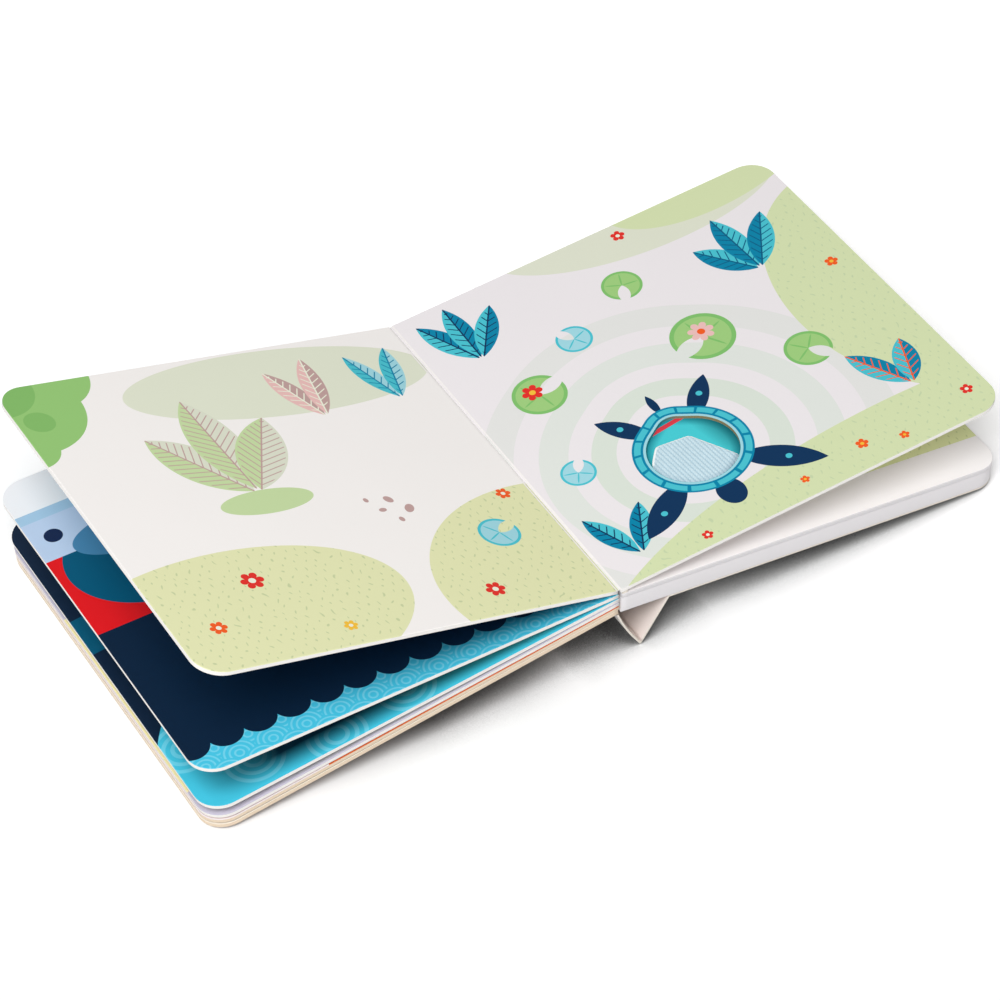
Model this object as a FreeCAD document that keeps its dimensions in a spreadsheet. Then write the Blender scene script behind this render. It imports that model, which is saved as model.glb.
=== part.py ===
import FreeCAD, Part
import math
import os

import Sketcher

# A square board book with a sound module, standing open as a low tent.
#
# Frame: +Z up, X across the open spread (front half at -X, sound block at +X), Y along the
# spine (the reader's edge at -Y). The origin lies on the floor under the gutter. The book
# rests on the far edge of its front cover and the far edge of its back cover, with the
# spine raised and the folded cover card hanging under it as a V.
#
# Every board is drawn lying flat in a frame of its own, X running away from the spine,
# and is then turned about Y to the angle at which it stands open.

Vec = FreeCAD.Vector
Y_AXIS = Vec(0, 1, 0)

# Driving sizes, millimetres and degrees.
SIZES = {
    # the boards
    "page_width": 198.0,
    "page_depth": 200.0,
    "corner_round": 12.5,
    "leaf_thick": 2.25,
    "cover_card": 0.9,
    "crease_half": 0.85,
    "crease_gap": 0.2,
    # how the book stands
    "spine_lift": 23.6,
    "right_leaf_angle": 3.1,
    "fold_height": 1.1,
    "fold_width": 2.6,
    "leaf_slack": 0.05,
    "hinge_rise": 0.2,
    "block_set": 0.4,
    # how far each left leaf is fanned above the front cover, from the top leaf down
    "fan_first": 22.9,
    "fan_second": 7.6,
    "fan_third": 1.4,
    "fan_fourth": 0.4,
    "fan_fifth": 0.2,
    "fold_proud": 0.65,
    "binding_width": 1.6,
    # the free part of the cover card
    "free_margin": 24.0,
    "spine_standoff": 1.0,
    "tip_rise": 0.15,
    "tip_trim": 1.0,
    "panel_clear": 0.5,
    "panel_back": 0.3,
    # the touch window in the right leaf
    "window_x": 70.5,
    "window_y": -46.3,
    "window_round": 20.4,
    "window_crown_round": 8.6,
    "window_crown_rise": 14.2,
    "window_recess": 1.35,
    "patch_thick": 0.8,
    "patch_clear": 0.25,
    # the patch's straight cut edges, from the window's base centre
    "patch_left_x": -12.5,
    "patch_left_y": 11.3,
    "patch_right_x": 3.3,
    "patch_right_y": 8.9,
    "patch_slant_x": 17.5,
    "patch_slant_y": -18.2,
    "patch_side_x": -19.3,
    "patch_side_y": 3.3,
    "patch_corner": 3.0,
    # the sound block
    "core_height": 7.95,
    "tray_wall": 0.8,
    "core_clear": 0.15,
    "bay_clear": 0.3,
    # the sound module: its near corner in the block, then its own sizes
    "module_x": 44.0,
    "module_y": -62.0,
    "module_length": 84.0,
    "module_width": 62.0,
    "module_headroom": 0.55,
    "module_wall": 1.3,
    "module_round": 3.0,
    "lid_thick": 1.2,
    "face_border": 3.0,
    "face_sheet": 0.6,
    "speaker_x": 66.0,
    "speaker_y": 18.0,
    "speaker_round": 14.0,
    "speaker_height": 3.0,
    "magnet_round": 8.0,
    "magnet_height": 1.5,
    "cone_thick": 0.4,
    "cone_clear": 0.1,
    "grille_hole": 1.1,
    "grille_inner": 4.6,
    "grille_outer": 9.2,
    "board_x": 8.0,
    "board_y": 5.0,
    "board_length": 42.0,
    "board_width": 26.0,
    "board_thick": 1.0,
    "board_rise": 3.6,
    "post_round": 1.6,
    "chip_round": 4.0,
    "chip_height": 1.0,
    "button_x": 28.0,
    "button_y": 16.0,
    "button_round": 5.0,
    "button_flange": 1.0,
    "button_lift": 0.5,
    "button_clear": 0.1,
    "button_travel": 0.4,
    "dome_round": 4.0,
    "dome_height": 0.3,
    "door_x": 6.0,
    "door_y": 39.0,
    "door_length": 52.0,
    "door_width": 16.0,
    "door_thick": 1.2,
    "door_clear": 0.2,
    "door_ledge": 1.2,
    "cell_round": 5.8,
    "cell_height": 3.05,
    "cell_pitch": 12.2,
    "contact_thick": 0.3,
    "screw_round": 1.0,
    "screw_head_round": 1.9,
    "screw_head_height": 0.9,
    "screw_length": 4.6,
    "boss_round": 2.75,
    "switch_x": 69.0,
    "switch_y": 47.0,
    "switch_length": 8.6,
    "switch_width": 5.0,
    "switch_height": 3.2,
    "knob_length": 3.0,
    "knob_width": 2.2,
    "knob_proud": 0.6,
    "knob_travel": 3.0,
    "lead_round": 0.45,
}
FAN = ("fan_first", "fan_second", "fan_third", "fan_fourth", "fan_fifth")
CELL_COUNT = 3
GRILLE_INNER_COUNT = 6
GRILLE_OUTER_COUNT = 12
COVER_WINDOW_ROUND = 2.0


class Dim:
    """A length that knows both its value and the sheet formula that it comes from."""

    def __init__(self, value, text):
        self.value = float(value)
        self.text = text

    @staticmethod
    def of(other):
        return other if isinstance(other, Dim) else Dim(other, repr(float(other)))

    def _join(self, other, sign, result):
        return Dim(result, f"({self.text} {sign} {Dim.of(other).text})")

    def __add__(self, other):
        return self._join(other, "+", self.value + Dim.of(other).value)

    def __sub__(self, other):
        return self._join(other, "-", self.value - Dim.of(other).value)

    def __mul__(self, other):
        return self._join(other, "*", self.value * Dim.of(other).value)

    def __truediv__(self, other):
        return self._join(other, "/", self.value / Dim.of(other).value)

    def __neg__(self):
        return Dim(-self.value, f"(-1 * {self.text})")


class Sizes:
    """The named sizes, read as attributes, and the few heights that are sums of them."""

    def __init__(self, table):
        for name, number in table.items():
            setattr(self, name, Dim(number, f"Sizes.{name}"))
        self.block_height = self.cover_card + self.core_height + self.leaf_thick
        self.module_height = self.core_height - self.lid_thick - self.module_headroom


def make_sheet(doc, table):
    """Write the driving sizes into a spreadsheet, one aliased cell each."""
    sheet = doc.addObject("Spreadsheet::Sheet", "Sizes")
    for row, (name, number) in enumerate(table.items(), start=1):
        sheet.set(f"A{row}", name)
        sheet.set(f"B{row}", str(number))
        sheet.setAlias(f"B{row}", name)
    doc.recompute()
    return sheet


doc = FreeCAD.newDocument("sound_book")
make_sheet(doc, SIZES)
D = Sizes(SIZES)
ZERO = Dim.of(0)


# ---------------------------------------------------------------- drawing helpers

def bind(feature, prop, dim):
    """Tie one property of a feature to the sheet."""
    feature.setExpression(prop, Dim.of(dim).text)


def new_body(label):
    body = doc.addObject("PartDesign::Body", label)
    body.Label = label
    return body


def new_sketch(body, role="XY_Plane", offset=(0, 0, 0)):
    """A sketch on one of the body's own origin planes, moved by offset in that plane's frame."""
    sketch = body.newObject("Sketcher::SketchObject", f"{body.Name}_sketch")
    plane = next(item for item in body.Origin.OriginFeatures if item.Role == role)
    sketch.AttachmentSupport = [(plane, "")]
    sketch.MapMode = "FlatFace"
    shift = [Dim.of(part) for part in offset]
    sketch.AttachmentOffset = FreeCAD.Placement(Vec(*[part.value for part in shift]),
                                                FreeCAD.Rotation())
    for name, part in zip("xyz", shift):
        bind(sketch, f"AttachmentOffset.Base.{name}", part)
    return sketch


def pin_point(sketch, geometry, point, x, y):
    """Fix one end of a line, or a centre, at x, y from the sketch's origin."""
    for kind, dim in (("DistanceX", Dim.of(x)), ("DistanceY", Dim.of(y))):
        row = sketch.addConstraint(Sketcher.Constraint(kind, -1, 1, geometry, point, dim.value))
        bind(sketch, f"Constraints[{row}]", dim)


def draw_outline(sketch, corners):
    """A closed run of straight lines through corners, each corner tied to the sheet."""
    corners = [(Dim.of(x), Dim.of(y)) for x, y in corners]
    spots = [Vec(x.value, y.value, 0) for x, y in corners]
    lines = [sketch.addGeometry(Part.LineSegment(spot, spots[(k + 1) % len(spots)]), False)
             for k, spot in enumerate(spots)]
    for k, line in enumerate(lines):
        sketch.addConstraint(
            Sketcher.Constraint("Coincident", line, 2, lines[(k + 1) % len(lines)], 1))
    for line, (x, y) in zip(lines, corners):
        pin_point(sketch, line, 1, x, y)


def draw_rectangle(sketch, x_low, y_low, x_high, y_high):
    draw_outline(sketch, [(x_low, y_low), (x_high, y_low), (x_high, y_high), (x_low, y_high)])


def draw_page(sketch, start, end, half, radius):
    """A page outline from x = start to end and y = -half to half, its far corners round."""
    start, end, half, radius = map(Dim.of, (start, end, half, radius))
    straight, level = end - radius, half - radius
    points = [(start, half), (start, -half), (straight, -half), (end, -level), (end, level),
              (straight, half)]
    spots = [Vec(x.value, y.value, 0) for x, y in points]

    def line(first, last):
        return sketch.addGeometry(Part.LineSegment(spots[first], spots[last]), False)

    def corner(side, angle):
        ring = Part.Circle(Vec(straight.value, side * level.value, 0), Vec(0, 0, 1), radius.value)
        return sketch.addGeometry(Part.ArcOfCircle(ring, angle, angle + math.pi / 2), False)

    loop = [line(0, 1), line(1, 2), corner(-1, -math.pi / 2), line(3, 4), corner(1, 0),
            line(5, 0)]
    for first, second in zip(loop, loop[1:] + loop[:1]):
        sketch.addConstraint(Sketcher.Constraint("Coincident", first, 2, second, 1))
    for geometry, (x, y) in zip((loop[0], loop[1], loop[2], loop[3], loop[4], loop[5]), points):
        pin_point(sketch, geometry, 1, x, y)
    for arc in (loop[2], loop[4]):
        row = sketch.addConstraint(Sketcher.Constraint("Radius", arc, radius.value))
        bind(sketch, f"Constraints[{row}]", radius)


def draw_circle(sketch, x, y, radius):
    x, y, radius = Dim.of(x), Dim.of(y), Dim.of(radius)
    circle = sketch.addGeometry(
        Part.Circle(Vec(x.value, y.value, 0), Vec(0, 0, 1), radius.value), False)
    pin_point(sketch, circle, 3, x, y)
    row = sketch.addConstraint(Sketcher.Constraint("Radius", circle, radius.value))
    bind(sketch, f"Constraints[{row}]", radius)


def draw_egg(sketch, x, y, base_round, crown_rise, crown_round):
    """An egg: a base arc and a smaller crown arc above it, joined by their outer tangents."""
    x, y, base_round, crown_rise, crown_round = map(
        Dim.of, (x, y, base_round, crown_rise, crown_round))
    lean = math.asin((base_round.value - crown_round.value) / crown_rise.value)
    base = Vec(x.value, y.value, 0)
    crown = Vec(x.value, y.value + crown_rise.value, 0)
    right = Vec(math.cos(lean), math.sin(lean), 0)
    left = Vec(-right.x, right.y, 0)
    base_circle = Part.Circle(base, Vec(0, 0, 1), base_round.value)
    crown_circle = Part.Circle(crown, Vec(0, 0, 1), crown_round.value)
    base_arc = sketch.addGeometry(
        Part.ArcOfCircle(base_circle, math.pi - lean, 2 * math.pi + lean), False)
    right_side = sketch.addGeometry(
        Part.LineSegment(base + right * base_round.value, crown + right * crown_round.value), False)
    crown_arc = sketch.addGeometry(
        Part.ArcOfCircle(crown_circle, lean, math.pi - lean), False)
    left_side = sketch.addGeometry(
        Part.LineSegment(crown + left * crown_round.value, base + left * base_round.value), False)
    for first, second in ((base_arc, right_side), (right_side, crown_arc),
                          (crown_arc, left_side), (left_side, base_arc)):
        sketch.addConstraint(Sketcher.Constraint("Tangent", first, 2, second, 1))
    pin_point(sketch, base_arc, 3, x, y)
    pin_point(sketch, crown_arc, 3, x, y + crown_rise)
    for arc, radius in ((base_arc, base_round), (crown_arc, crown_round)):
        row = sketch.addConstraint(Sketcher.Constraint("Radius", arc, radius.value))
        bind(sketch, f"Constraints[{row}]", radius)


def add_feature(body, kind, sketch, length=None, reverse=False, through=False):
    """Pad or Pocket a sketch, by a length or through everything."""
    feature = body.newObject(f"PartDesign::{kind}", f"{body.Name}_{kind.lower()}")
    feature.Profile = sketch
    feature.Reversed = reverse
    if through:
        feature.Type = "ThroughAll"
        feature.Midplane = True
    else:
        bind(feature, "Length", length)
    sketch.Visibility = False
    doc.recompute()
    return feature


def round_edges(body, chosen, radius):
    """Fillet the edges of the body's tip that the function chosen picks."""
    base = body.Tip
    names = [f"Edge{k + 1}" for k, edge in enumerate(base.Shape.Edges) if chosen(edge)]
    fillet = body.newObject("PartDesign::Fillet", f"{body.Name}_fillet")
    fillet.Base = (base, names)
    bind(fillet, "Radius", radius)
    doc.recompute()
    return fillet


def all_upright(edge):
    return edge.BoundBox.XLength < 1e-6 and edge.BoundBox.YLength < 1e-6


def repeat_round(body, feature, sketch, count):
    """A ring of copies of a feature about the sketch's own origin."""
    pattern = body.newObject("PartDesign::PolarPattern", f"{body.Name}_ring")
    pattern.Originals = [feature]
    pattern.Axis = (sketch, ["N_Axis"])
    pattern.Angle = 360
    pattern.Occurrences = count
    body.Tip = pattern
    doc.recompute()


def primitive(kind, label, **dims):
    """A Part primitive with its sizes tied to the sheet."""
    item = doc.addObject(f"Part::{kind}", label)
    for prop, dim in dims.items():
        bind(item, prop, dim)
    return item


def fuse(label, pieces):
    """One solid from several: the pieces' own faces merge where they lie in one plane."""
    joined = doc.addObject("Part::MultiFuse", label)
    joined.Label = label
    joined.Shapes = pieces
    joined.Refine = True
    return joined


def cut(label, base, tool):
    result = doc.addObject("Part::Cut", label)
    result.Label = label
    result.Base = base
    result.Tool = tool
    return result


# ---------------------------------------------------------------- where the boards stand

class Rest:
    """The places and angles of the standing book, worked out from the driving sizes."""

    def __init__(self):
        self.block_angle = math.degrees(math.asin(D.spine_lift.value / D.page_width.value))
        self.block_corner = Vec(D.block_set.value, 0, D.spine_lift.value)
        rise = D.block_height.value + D.fold_height.value + D.leaf_thick.value
        self.gutter = Vec(0, 0, D.spine_lift.value
                          + rise * math.cos(math.radians(self.block_angle)))
        self.hinge = self.gutter + Vec(0, 0, D.hinge_rise.value)
        self.pitch = D.leaf_thick.value + D.leaf_slack.value
        self.cover_height = self.gutter.z - len(FAN) * self.pitch
        diagonal = math.hypot(D.page_width.value, D.leaf_thick.value)
        self.cover_angle = math.degrees(math.asin(self.cover_height / diagonal)
                                        - math.atan2(D.leaf_thick.value, D.page_width.value))

    def in_block(self, along, up):
        """A point of the sound block: along its outer face from the spine, and up from it."""
        return self.block_corner + self.turn(Vec(along, 0, up), self.block_angle)

    @staticmethod
    def turn(point, angle):
        return FreeCAD.Rotation(Y_AXIS, angle).multVec(point)

    def block_placement(self, along=0.0, across=0.0, up=0.0):
        spot = self.in_block(along, up) + Vec(0, across, 0)
        return FreeCAD.Placement(spot, FreeCAD.Rotation(Y_AXIS, self.block_angle))

    def left_placement(self, place, fan):
        """The frame of a left-hand board: its top face at z = 0, X away from the spine."""
        lift = fan - self.cover_angle
        flip = FreeCAD.Rotation(Vec(0, 0, 1), 180)
        spot = self.gutter - Vec(0, 0, place * self.pitch)
        return FreeCAD.Placement(spot, FreeCAD.Rotation(Y_AXIS, lift) * flip)


REST = Rest()
HALF_DEPTH = D.page_depth / 2


# ---------------------------------------------------------------- boards and leaves

def make_board(label, start, thick):
    """A page-sized board hanging down from its top face at z = 0, outer corners rounded."""
    body = new_body(label)
    sketch = new_sketch(body)
    draw_page(sketch, start, D.page_width, HALF_DEPTH, D.corner_round)
    add_feature(body, "Pad", sketch, thick, reverse=True)
    return body


def make_fold_round(label, start, thick):
    """The rounded fold of a sheet at a leaf's spine edge, in the leaf's own frame."""
    roll = primitive("Cylinder", label, Radius=thick / 2, Height=D.page_depth)
    roll.Placement = FreeCAD.Placement(
        Vec(start.value, HALF_DEPTH.value, -thick.value / 2), FreeCAD.Rotation(Vec(1, 0, 0), 90))
    return roll


def make_left_pages():
    """The five left-hand leaves, bound along the spine into one fan."""
    start = D.crease_half
    nose = start - D.fold_proud + D.leaf_thick / 2
    pieces = []
    for place, name in enumerate(FAN):
        spot = REST.left_placement(place, getattr(D, name).value)
        leaf = make_board(f"leaf_{place + 1}", start, D.leaf_thick)
        fold = make_fold_round(f"leaf_fold_{place + 1}", nose, D.leaf_thick)
        leaf.Placement = spot
        fold.Placement = spot.multiply(fold.Placement)
        pieces += [leaf, fold]
    binding = primitive("Box", "binding", Length=D.binding_width, Width=D.page_depth)
    binding.Height = (len(FAN) - 1) * REST.pitch
    binding.Placement.Base = Vec(-start.value - D.binding_width.value, -HALF_DEPTH.value,
                                 REST.gutter.z - (len(FAN) - 0.5) * REST.pitch)
    return fuse("left_pages", pieces + [binding])


def make_front_cover():
    cover = make_board("front_cover", D.crease_half, D.leaf_thick)
    cover.Placement = REST.left_placement(len(FAN), 0.0)
    return cover


def make_right_leaf():
    """The right-hand leaf with its touch window, and its fold down to the block."""
    leaf = make_board("right_leaf_board", D.crease_half, D.leaf_thick)
    window = new_sketch(leaf)
    draw_egg(window, D.window_x, D.window_y, D.window_round, D.window_crown_rise,
             D.window_crown_round)
    add_feature(leaf, "Pocket", window, D.window_recess)
    leaf.Placement = FreeCAD.Placement(
        REST.gutter, FreeCAD.Rotation(Y_AXIS, -D.right_leaf_angle.value))

    fold = new_body("right_leaf_fold")
    near, far = (REST.in_block(along, D.block_height.value)
                 for along in (0.0, D.fold_width.value))
    lean = math.tan(math.radians(D.right_leaf_angle.value))
    under = REST.turn(Vec(0, 0, -D.leaf_thick.value), -D.right_leaf_angle.value) + REST.gutter
    above = [(spot.x, under.z + (spot.x - under.x) * lean) for spot in (far, near)]
    profile = new_sketch(fold, role="XZ_Plane", offset=(0, 0, -HALF_DEPTH))
    draw_outline(profile, [(near.x, near.z), (far.x, far.z)] + above)
    add_feature(fold, "Pad", profile, D.page_depth)
    return fuse("right_leaf", [leaf, fold])


def make_knit_patch():
    """The knitted touch patch glued to the window's floor, cut straight at its top and side."""
    body = new_body("knit_patch")
    floor = -D.window_recess
    outline = new_sketch(body, offset=(0, 0, floor))
    draw_egg(outline, D.window_x, D.window_y, D.window_round - D.patch_clear,
             D.window_crown_rise, D.window_crown_round - D.patch_clear)
    add_feature(body, "Pad", outline, D.patch_thick)
    trim = new_sketch(body, offset=(0, 0, floor))
    x, y = D.window_x, D.window_y
    reach = D.window_round + D.window_crown_rise
    corners = [(x + D.patch_side_x, y + D.patch_side_y), (x + D.patch_left_x, y + D.patch_left_y),
               (x + D.patch_right_x, y + D.patch_right_y),
               (x + D.patch_slant_x, y + D.patch_slant_y)]
    draw_outline(trim, corners + [(x + reach, y + D.patch_slant_y), (x + reach, y + reach),
                                  (x - reach, y + reach), (x - reach, y + D.patch_side_y)])
    add_feature(body, "Pocket", trim, through=True)
    rounded = [(across.value, along.value) for across, along in corners[1:3]]

    def cut_corner(edge):
        box = edge.BoundBox
        return all_upright(edge) and any(math.hypot(box.XMin - across, box.YMin - along) < 1e-4
                                         for across, along in rounded)

    round_edges(body, cut_corner, D.patch_corner)
    body.Placement = FreeCAD.Placement(
        REST.gutter, FreeCAD.Rotation(Y_AXIS, -D.right_leaf_angle.value))
    return body


# ---------------------------------------------------------------- the sound block

def make_block_tray():
    """The block's printed top board with its wrapped sides, one folded tray open below."""
    body = new_body("block_tray")
    height = D.block_height - D.cover_card
    outer = new_sketch(body)
    draw_page(outer, 0, D.page_width, HALF_DEPTH, D.corner_round)
    add_feature(body, "Pad", outer, height)
    inner = new_sketch(body)
    wall = D.tray_wall
    draw_page(inner, wall, D.page_width - wall, HALF_DEPTH - wall, D.corner_round - wall)
    add_feature(body, "Pocket", inner, height - D.leaf_thick, reverse=True)
    hollow = new_sketch(body, offset=(0, 0, height - D.leaf_thick))
    draw_circle(hollow, D.module_x + D.button_x, D.module_y + D.button_y,
                D.button_round + D.bay_clear)
    add_feature(body, "Pocket", hollow, D.leaf_thick - D.face_sheet, reverse=True)
    body.Placement = REST.block_placement(up=D.cover_card.value)
    return body


def make_block_core():
    """The thick board filling of the tray, cut out for the sound module."""
    body = new_body("block_core")
    inset = D.tray_wall + D.core_clear
    thick = D.block_height - D.cover_card - D.leaf_thick - D.core_clear
    outer = new_sketch(body)
    draw_page(outer, inset, D.page_width - inset, HALF_DEPTH - inset,
              D.corner_round - D.tray_wall)
    add_feature(body, "Pad", outer, thick)
    bay = new_sketch(body)
    draw_rectangle(bay, D.module_x - D.bay_clear, D.module_y - D.bay_clear,
                   D.module_x + D.module_length + D.bay_clear,
                   D.module_y + D.module_width + D.bay_clear)
    add_feature(body, "Pocket", bay, through=True)
    body.Placement = REST.block_placement(up=D.cover_card.value)
    return body


def make_back_cover():
    """The glued part of the cover card under the block, with the module's window in it."""
    body = new_body("back_cover")
    sketch = new_sketch(body)
    start = D.free_margin + D.cover_card / 2 + D.crease_gap
    draw_page(sketch, start, D.page_width, HALF_DEPTH, D.corner_round)
    add_feature(body, "Pad", sketch, D.cover_card)
    window = new_sketch(body)
    border = D.face_border
    draw_rectangle(window, D.module_x + border, D.module_y + border,
                   D.module_x + D.module_length - border, D.module_y + D.module_width - border)
    add_feature(body, "Pocket", window, through=True)
    module_low = D.module_x.value
    module_high = module_low + D.module_length.value

    def window_corner(edge):
        return all_upright(edge) and module_low < edge.BoundBox.XMin < module_high

    round_edges(body, window_corner, COVER_WINDOW_ROUND)
    body.Placement = REST.block_placement()
    return body


class FreeCard:
    """The two free panels of the cover card: the unglued margin and the spine panel."""

    def __init__(self):
        half = D.cover_card.value / 2
        self.margin_length = D.free_margin + D.spine_standoff
        self.pivot = REST.in_block(D.free_margin.value, half - D.crease_gap.value)
        tip_z = half + D.tip_rise.value
        drop = self.pivot.z - tip_z
        run = math.sqrt(self.margin_length.value ** 2 - drop ** 2)
        self.tip = Vec(self.pivot.x - run, 0, tip_z)
        cover = REST.left_placement(len(FAN), 0.0)
        corner = cover.multVec(Vec(D.crease_half.value, 0, -D.leaf_thick.value))
        self.spine_end = corner - Vec(D.panel_back.value, 0, half + D.panel_clear.value)

    @staticmethod
    def facing(start, end):
        """A frame at start whose X axis points at end."""
        angle = math.degrees(math.atan2(start.z - end.z, end.x - start.x))
        return FreeCAD.Placement(start, FreeCAD.Rotation(Y_AXIS, angle))

    def strip(self, label, length, start, end, rounds):
        """A flat strip of card along X, rounded over at the creases that rounds lists."""
        flat = primitive("Box", f"{label}_flat", Width=D.page_depth, Height=D.cover_card)
        flat.Length = length
        flat.Placement.Base = Vec(0, -HALF_DEPTH.value, -D.cover_card.value / 2)
        pieces = [flat]
        for number, along in enumerate(rounds):
            roll = primitive("Cylinder", f"{label}_crease_{number + 1}", Radius=D.cover_card / 2,
                             Height=D.page_depth)
            roll.Placement = FreeCAD.Placement(Vec(along, HALF_DEPTH.value, 0),
                                               FreeCAD.Rotation(Vec(1, 0, 0), 90))
            pieces.append(roll)
        strip = fuse(label, pieces)
        strip.Placement = self.facing(start, end)
        return strip

    def make_margin(self):
        length = (self.margin_length - D.tip_trim).value
        return self.strip("cover_margin", length, self.pivot, self.tip, [0.0])

    def make_spine(self):
        length = self.tip.distanceToPoint(self.spine_end)
        return self.strip("spine_panel", length, self.tip, self.spine_end, [0.0, length])


# ---------------------------------------------------------------- the sound module

def seat_in_module(item, x=0.0, y=0.0, z=0.0):
    """Place an item whose own frame stands at x, y, z of the module."""
    item.Placement = REST.block_placement(D.module_x.value + x, D.module_y.value + y,
                                          D.cover_card.value + z)
    return item


def module_corners():
    """The four places of the case screws."""
    inset = D.module_wall + D.boss_round - 0.5
    return [(x, y) for x in (inset, D.module_length - inset)
            for y in (inset, D.module_width - inset)]


def door_box(grow):
    """The battery door's outline grown by a clearance: x and y limits in the module."""
    return (D.door_x - grow, D.door_y - grow,
            D.door_x + D.door_length + grow, D.door_y + D.door_width + grow)


def door_screw_spot():
    return D.door_x + D.door_length - D.boss_round - 1.0, D.door_y + D.door_width / 2


def cell_spot(number):
    first = D.door_x + D.door_ledge + D.cell_round + D.door_clear
    return first + D.cell_pitch * number, D.door_y + D.door_width / 2


def make_module_base():
    """The case's lower shell: floor, walls, bosses, grille, battery bay and switch slot."""
    body = new_body("module_base")
    floor = new_sketch(body)
    draw_rectangle(floor, 0, 0, D.module_length, D.module_width)
    add_feature(body, "Pad", floor, D.module_wall)
    walls = new_sketch(body)
    wall = D.module_wall
    draw_rectangle(walls, 0, 0, D.module_length, D.module_width)
    draw_rectangle(walls, wall, wall, D.module_length - wall, D.module_width - wall)
    add_feature(body, "Pad", walls, D.module_height)

    def case_corner(edge):
        box = edge.BoundBox
        ends = (0.0, D.module_length.value)
        return all_upright(edge) and min(abs(box.XMin - end) for end in ends) < 1e-6

    round_edges(body, case_corner, D.module_round)

    for x, y in module_corners():
        boss = new_sketch(body)
        draw_circle(boss, x, y, D.boss_round)
        add_feature(body, "Pad", boss, D.module_height)
    for x, y in board_corners():
        post = new_sketch(body)
        draw_circle(post, x, y, D.post_round)
        add_feature(body, "Pad", post, D.board_rise)

    opening = new_sketch(body)
    draw_rectangle(opening, *door_box(D.door_clear))
    add_feature(body, "Pocket", opening, D.module_wall, reverse=True)
    bay = new_sketch(body, offset=(0, 0, D.module_wall))
    draw_rectangle(bay, *door_box(D.module_wall))
    draw_rectangle(bay, *bay_box())
    add_feature(body, "Pad", bay, D.module_height - D.module_wall)
    ceiling = new_sketch(body, offset=(0, 0, bay_ceiling()))
    draw_rectangle(ceiling, *door_box(D.door_clear))
    add_feature(body, "Pad", ceiling, D.module_height - bay_ceiling())
    screw_boss = new_sketch(body, offset=(0, 0, D.module_wall))
    draw_circle(screw_boss, *door_screw_spot(), D.boss_round)
    add_feature(body, "Pad", screw_boss, D.module_height - D.module_wall)

    pilots = new_sketch(body, offset=(0, 0, D.module_height))
    for x, y in module_corners():
        draw_circle(pilots, x, y, D.screw_round)
    add_feature(body, "Pocket", pilots, D.screw_length)
    door_pilot = new_sketch(body, offset=(0, 0, D.module_wall))
    draw_circle(door_pilot, *door_screw_spot(), D.screw_round)
    add_feature(body, "Pocket", door_pilot, D.screw_length, reverse=True)
    slot = new_sketch(body)
    reach = (D.knob_length + D.door_clear) / 2
    draw_rectangle(slot, D.switch_x - reach, D.switch_y - D.knob_width / 2 - D.door_clear,
                   D.switch_x + reach + D.knob_travel, D.switch_y + D.knob_width / 2 + D.door_clear)
    add_feature(body, "Pocket", slot, D.module_wall, reverse=True)

    centre = new_sketch(body)
    draw_circle(centre, D.speaker_x, D.speaker_y, D.grille_hole)
    add_feature(body, "Pocket", centre, D.module_wall, reverse=True)
    for ring, count in ((D.grille_inner, GRILLE_INNER_COUNT), (D.grille_outer, GRILLE_OUTER_COUNT)):
        hole = new_sketch(body, offset=(D.speaker_x, D.speaker_y, 0))
        draw_circle(hole, ring, 0, D.grille_hole)
        pocket = add_feature(body, "Pocket", hole, D.module_wall, reverse=True)
        repeat_round(body, pocket, hole, count)
    return seat_in_module(body)


def bay_box():
    """The inside of the battery bay, a ledge smaller than the door all round."""
    screw_x, _ = door_screw_spot()
    return (D.door_x + D.door_ledge, D.door_y + D.door_ledge,
            screw_x - D.boss_round, D.door_y + D.door_width - D.door_ledge)


def bay_floor():
    """The height of the cells' lower faces: door, then the contact on it."""
    return D.door_thick + D.contact_thick + D.door_clear / 2


def bay_ceiling():
    return bay_floor() + D.cell_height + D.contact_thick + D.door_clear / 2


def make_module_lid():
    """The flat upper plate of the case, with the button's hole and the screw holes."""
    body = new_body("module_lid")
    plate = new_sketch(body)
    draw_rectangle(plate, 0, 0, D.module_length, D.module_width)
    add_feature(body, "Pad", plate, D.lid_thick)
    round_edges(body, all_upright, D.module_round)
    holes = new_sketch(body)
    draw_circle(holes, D.button_x, D.button_y, D.button_round + D.door_clear)
    for x, y in module_corners():
        draw_circle(holes, x, y, D.screw_round + D.door_clear / 2)
    add_feature(body, "Pocket", holes, through=True)
    sinks = new_sketch(body, offset=(0, 0, D.lid_thick))
    for x, y in module_corners():
        draw_circle(sinks, x, y, D.screw_head_round + D.door_clear)
    add_feature(body, "Pocket", sinks, D.lid_thick - lid_sink())
    return seat_in_module(body, z=D.module_height.value)


def lid_sink():
    """The thickness left under the case screws' heads, which are let into the lid."""
    return D.lid_thick / 2


def make_case_screws():
    """The four case screws, driven through the lid into the base's bosses."""
    screws = []
    for number, (x, y) in enumerate(module_corners()):
        screws.append(make_screw(f"case_screw_{number + 1}", x, y,
                                 D.module_height + lid_sink(), down=True))
    return screws


def make_screw(label, x, y, z, down):
    """A pan-head screw. Its head's bearing face lies at z, its shank points down or up."""
    head = primitive("Cylinder", f"{label}_head", Radius=D.screw_head_round,
                     Height=D.screw_head_height)
    shank = primitive("Cylinder", f"{label}_shank", Radius=D.screw_round - 0.02,
                      Height=D.screw_length)
    if down:
        shank.Placement.Base = Vec(0, 0, -D.screw_length.value)
    else:
        head.Placement.Base = Vec(0, 0, -D.screw_head_height.value)
    screw = fuse(label, [head, shank])
    return seat_in_module(screw, x.value, y.value, z.value)


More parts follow.
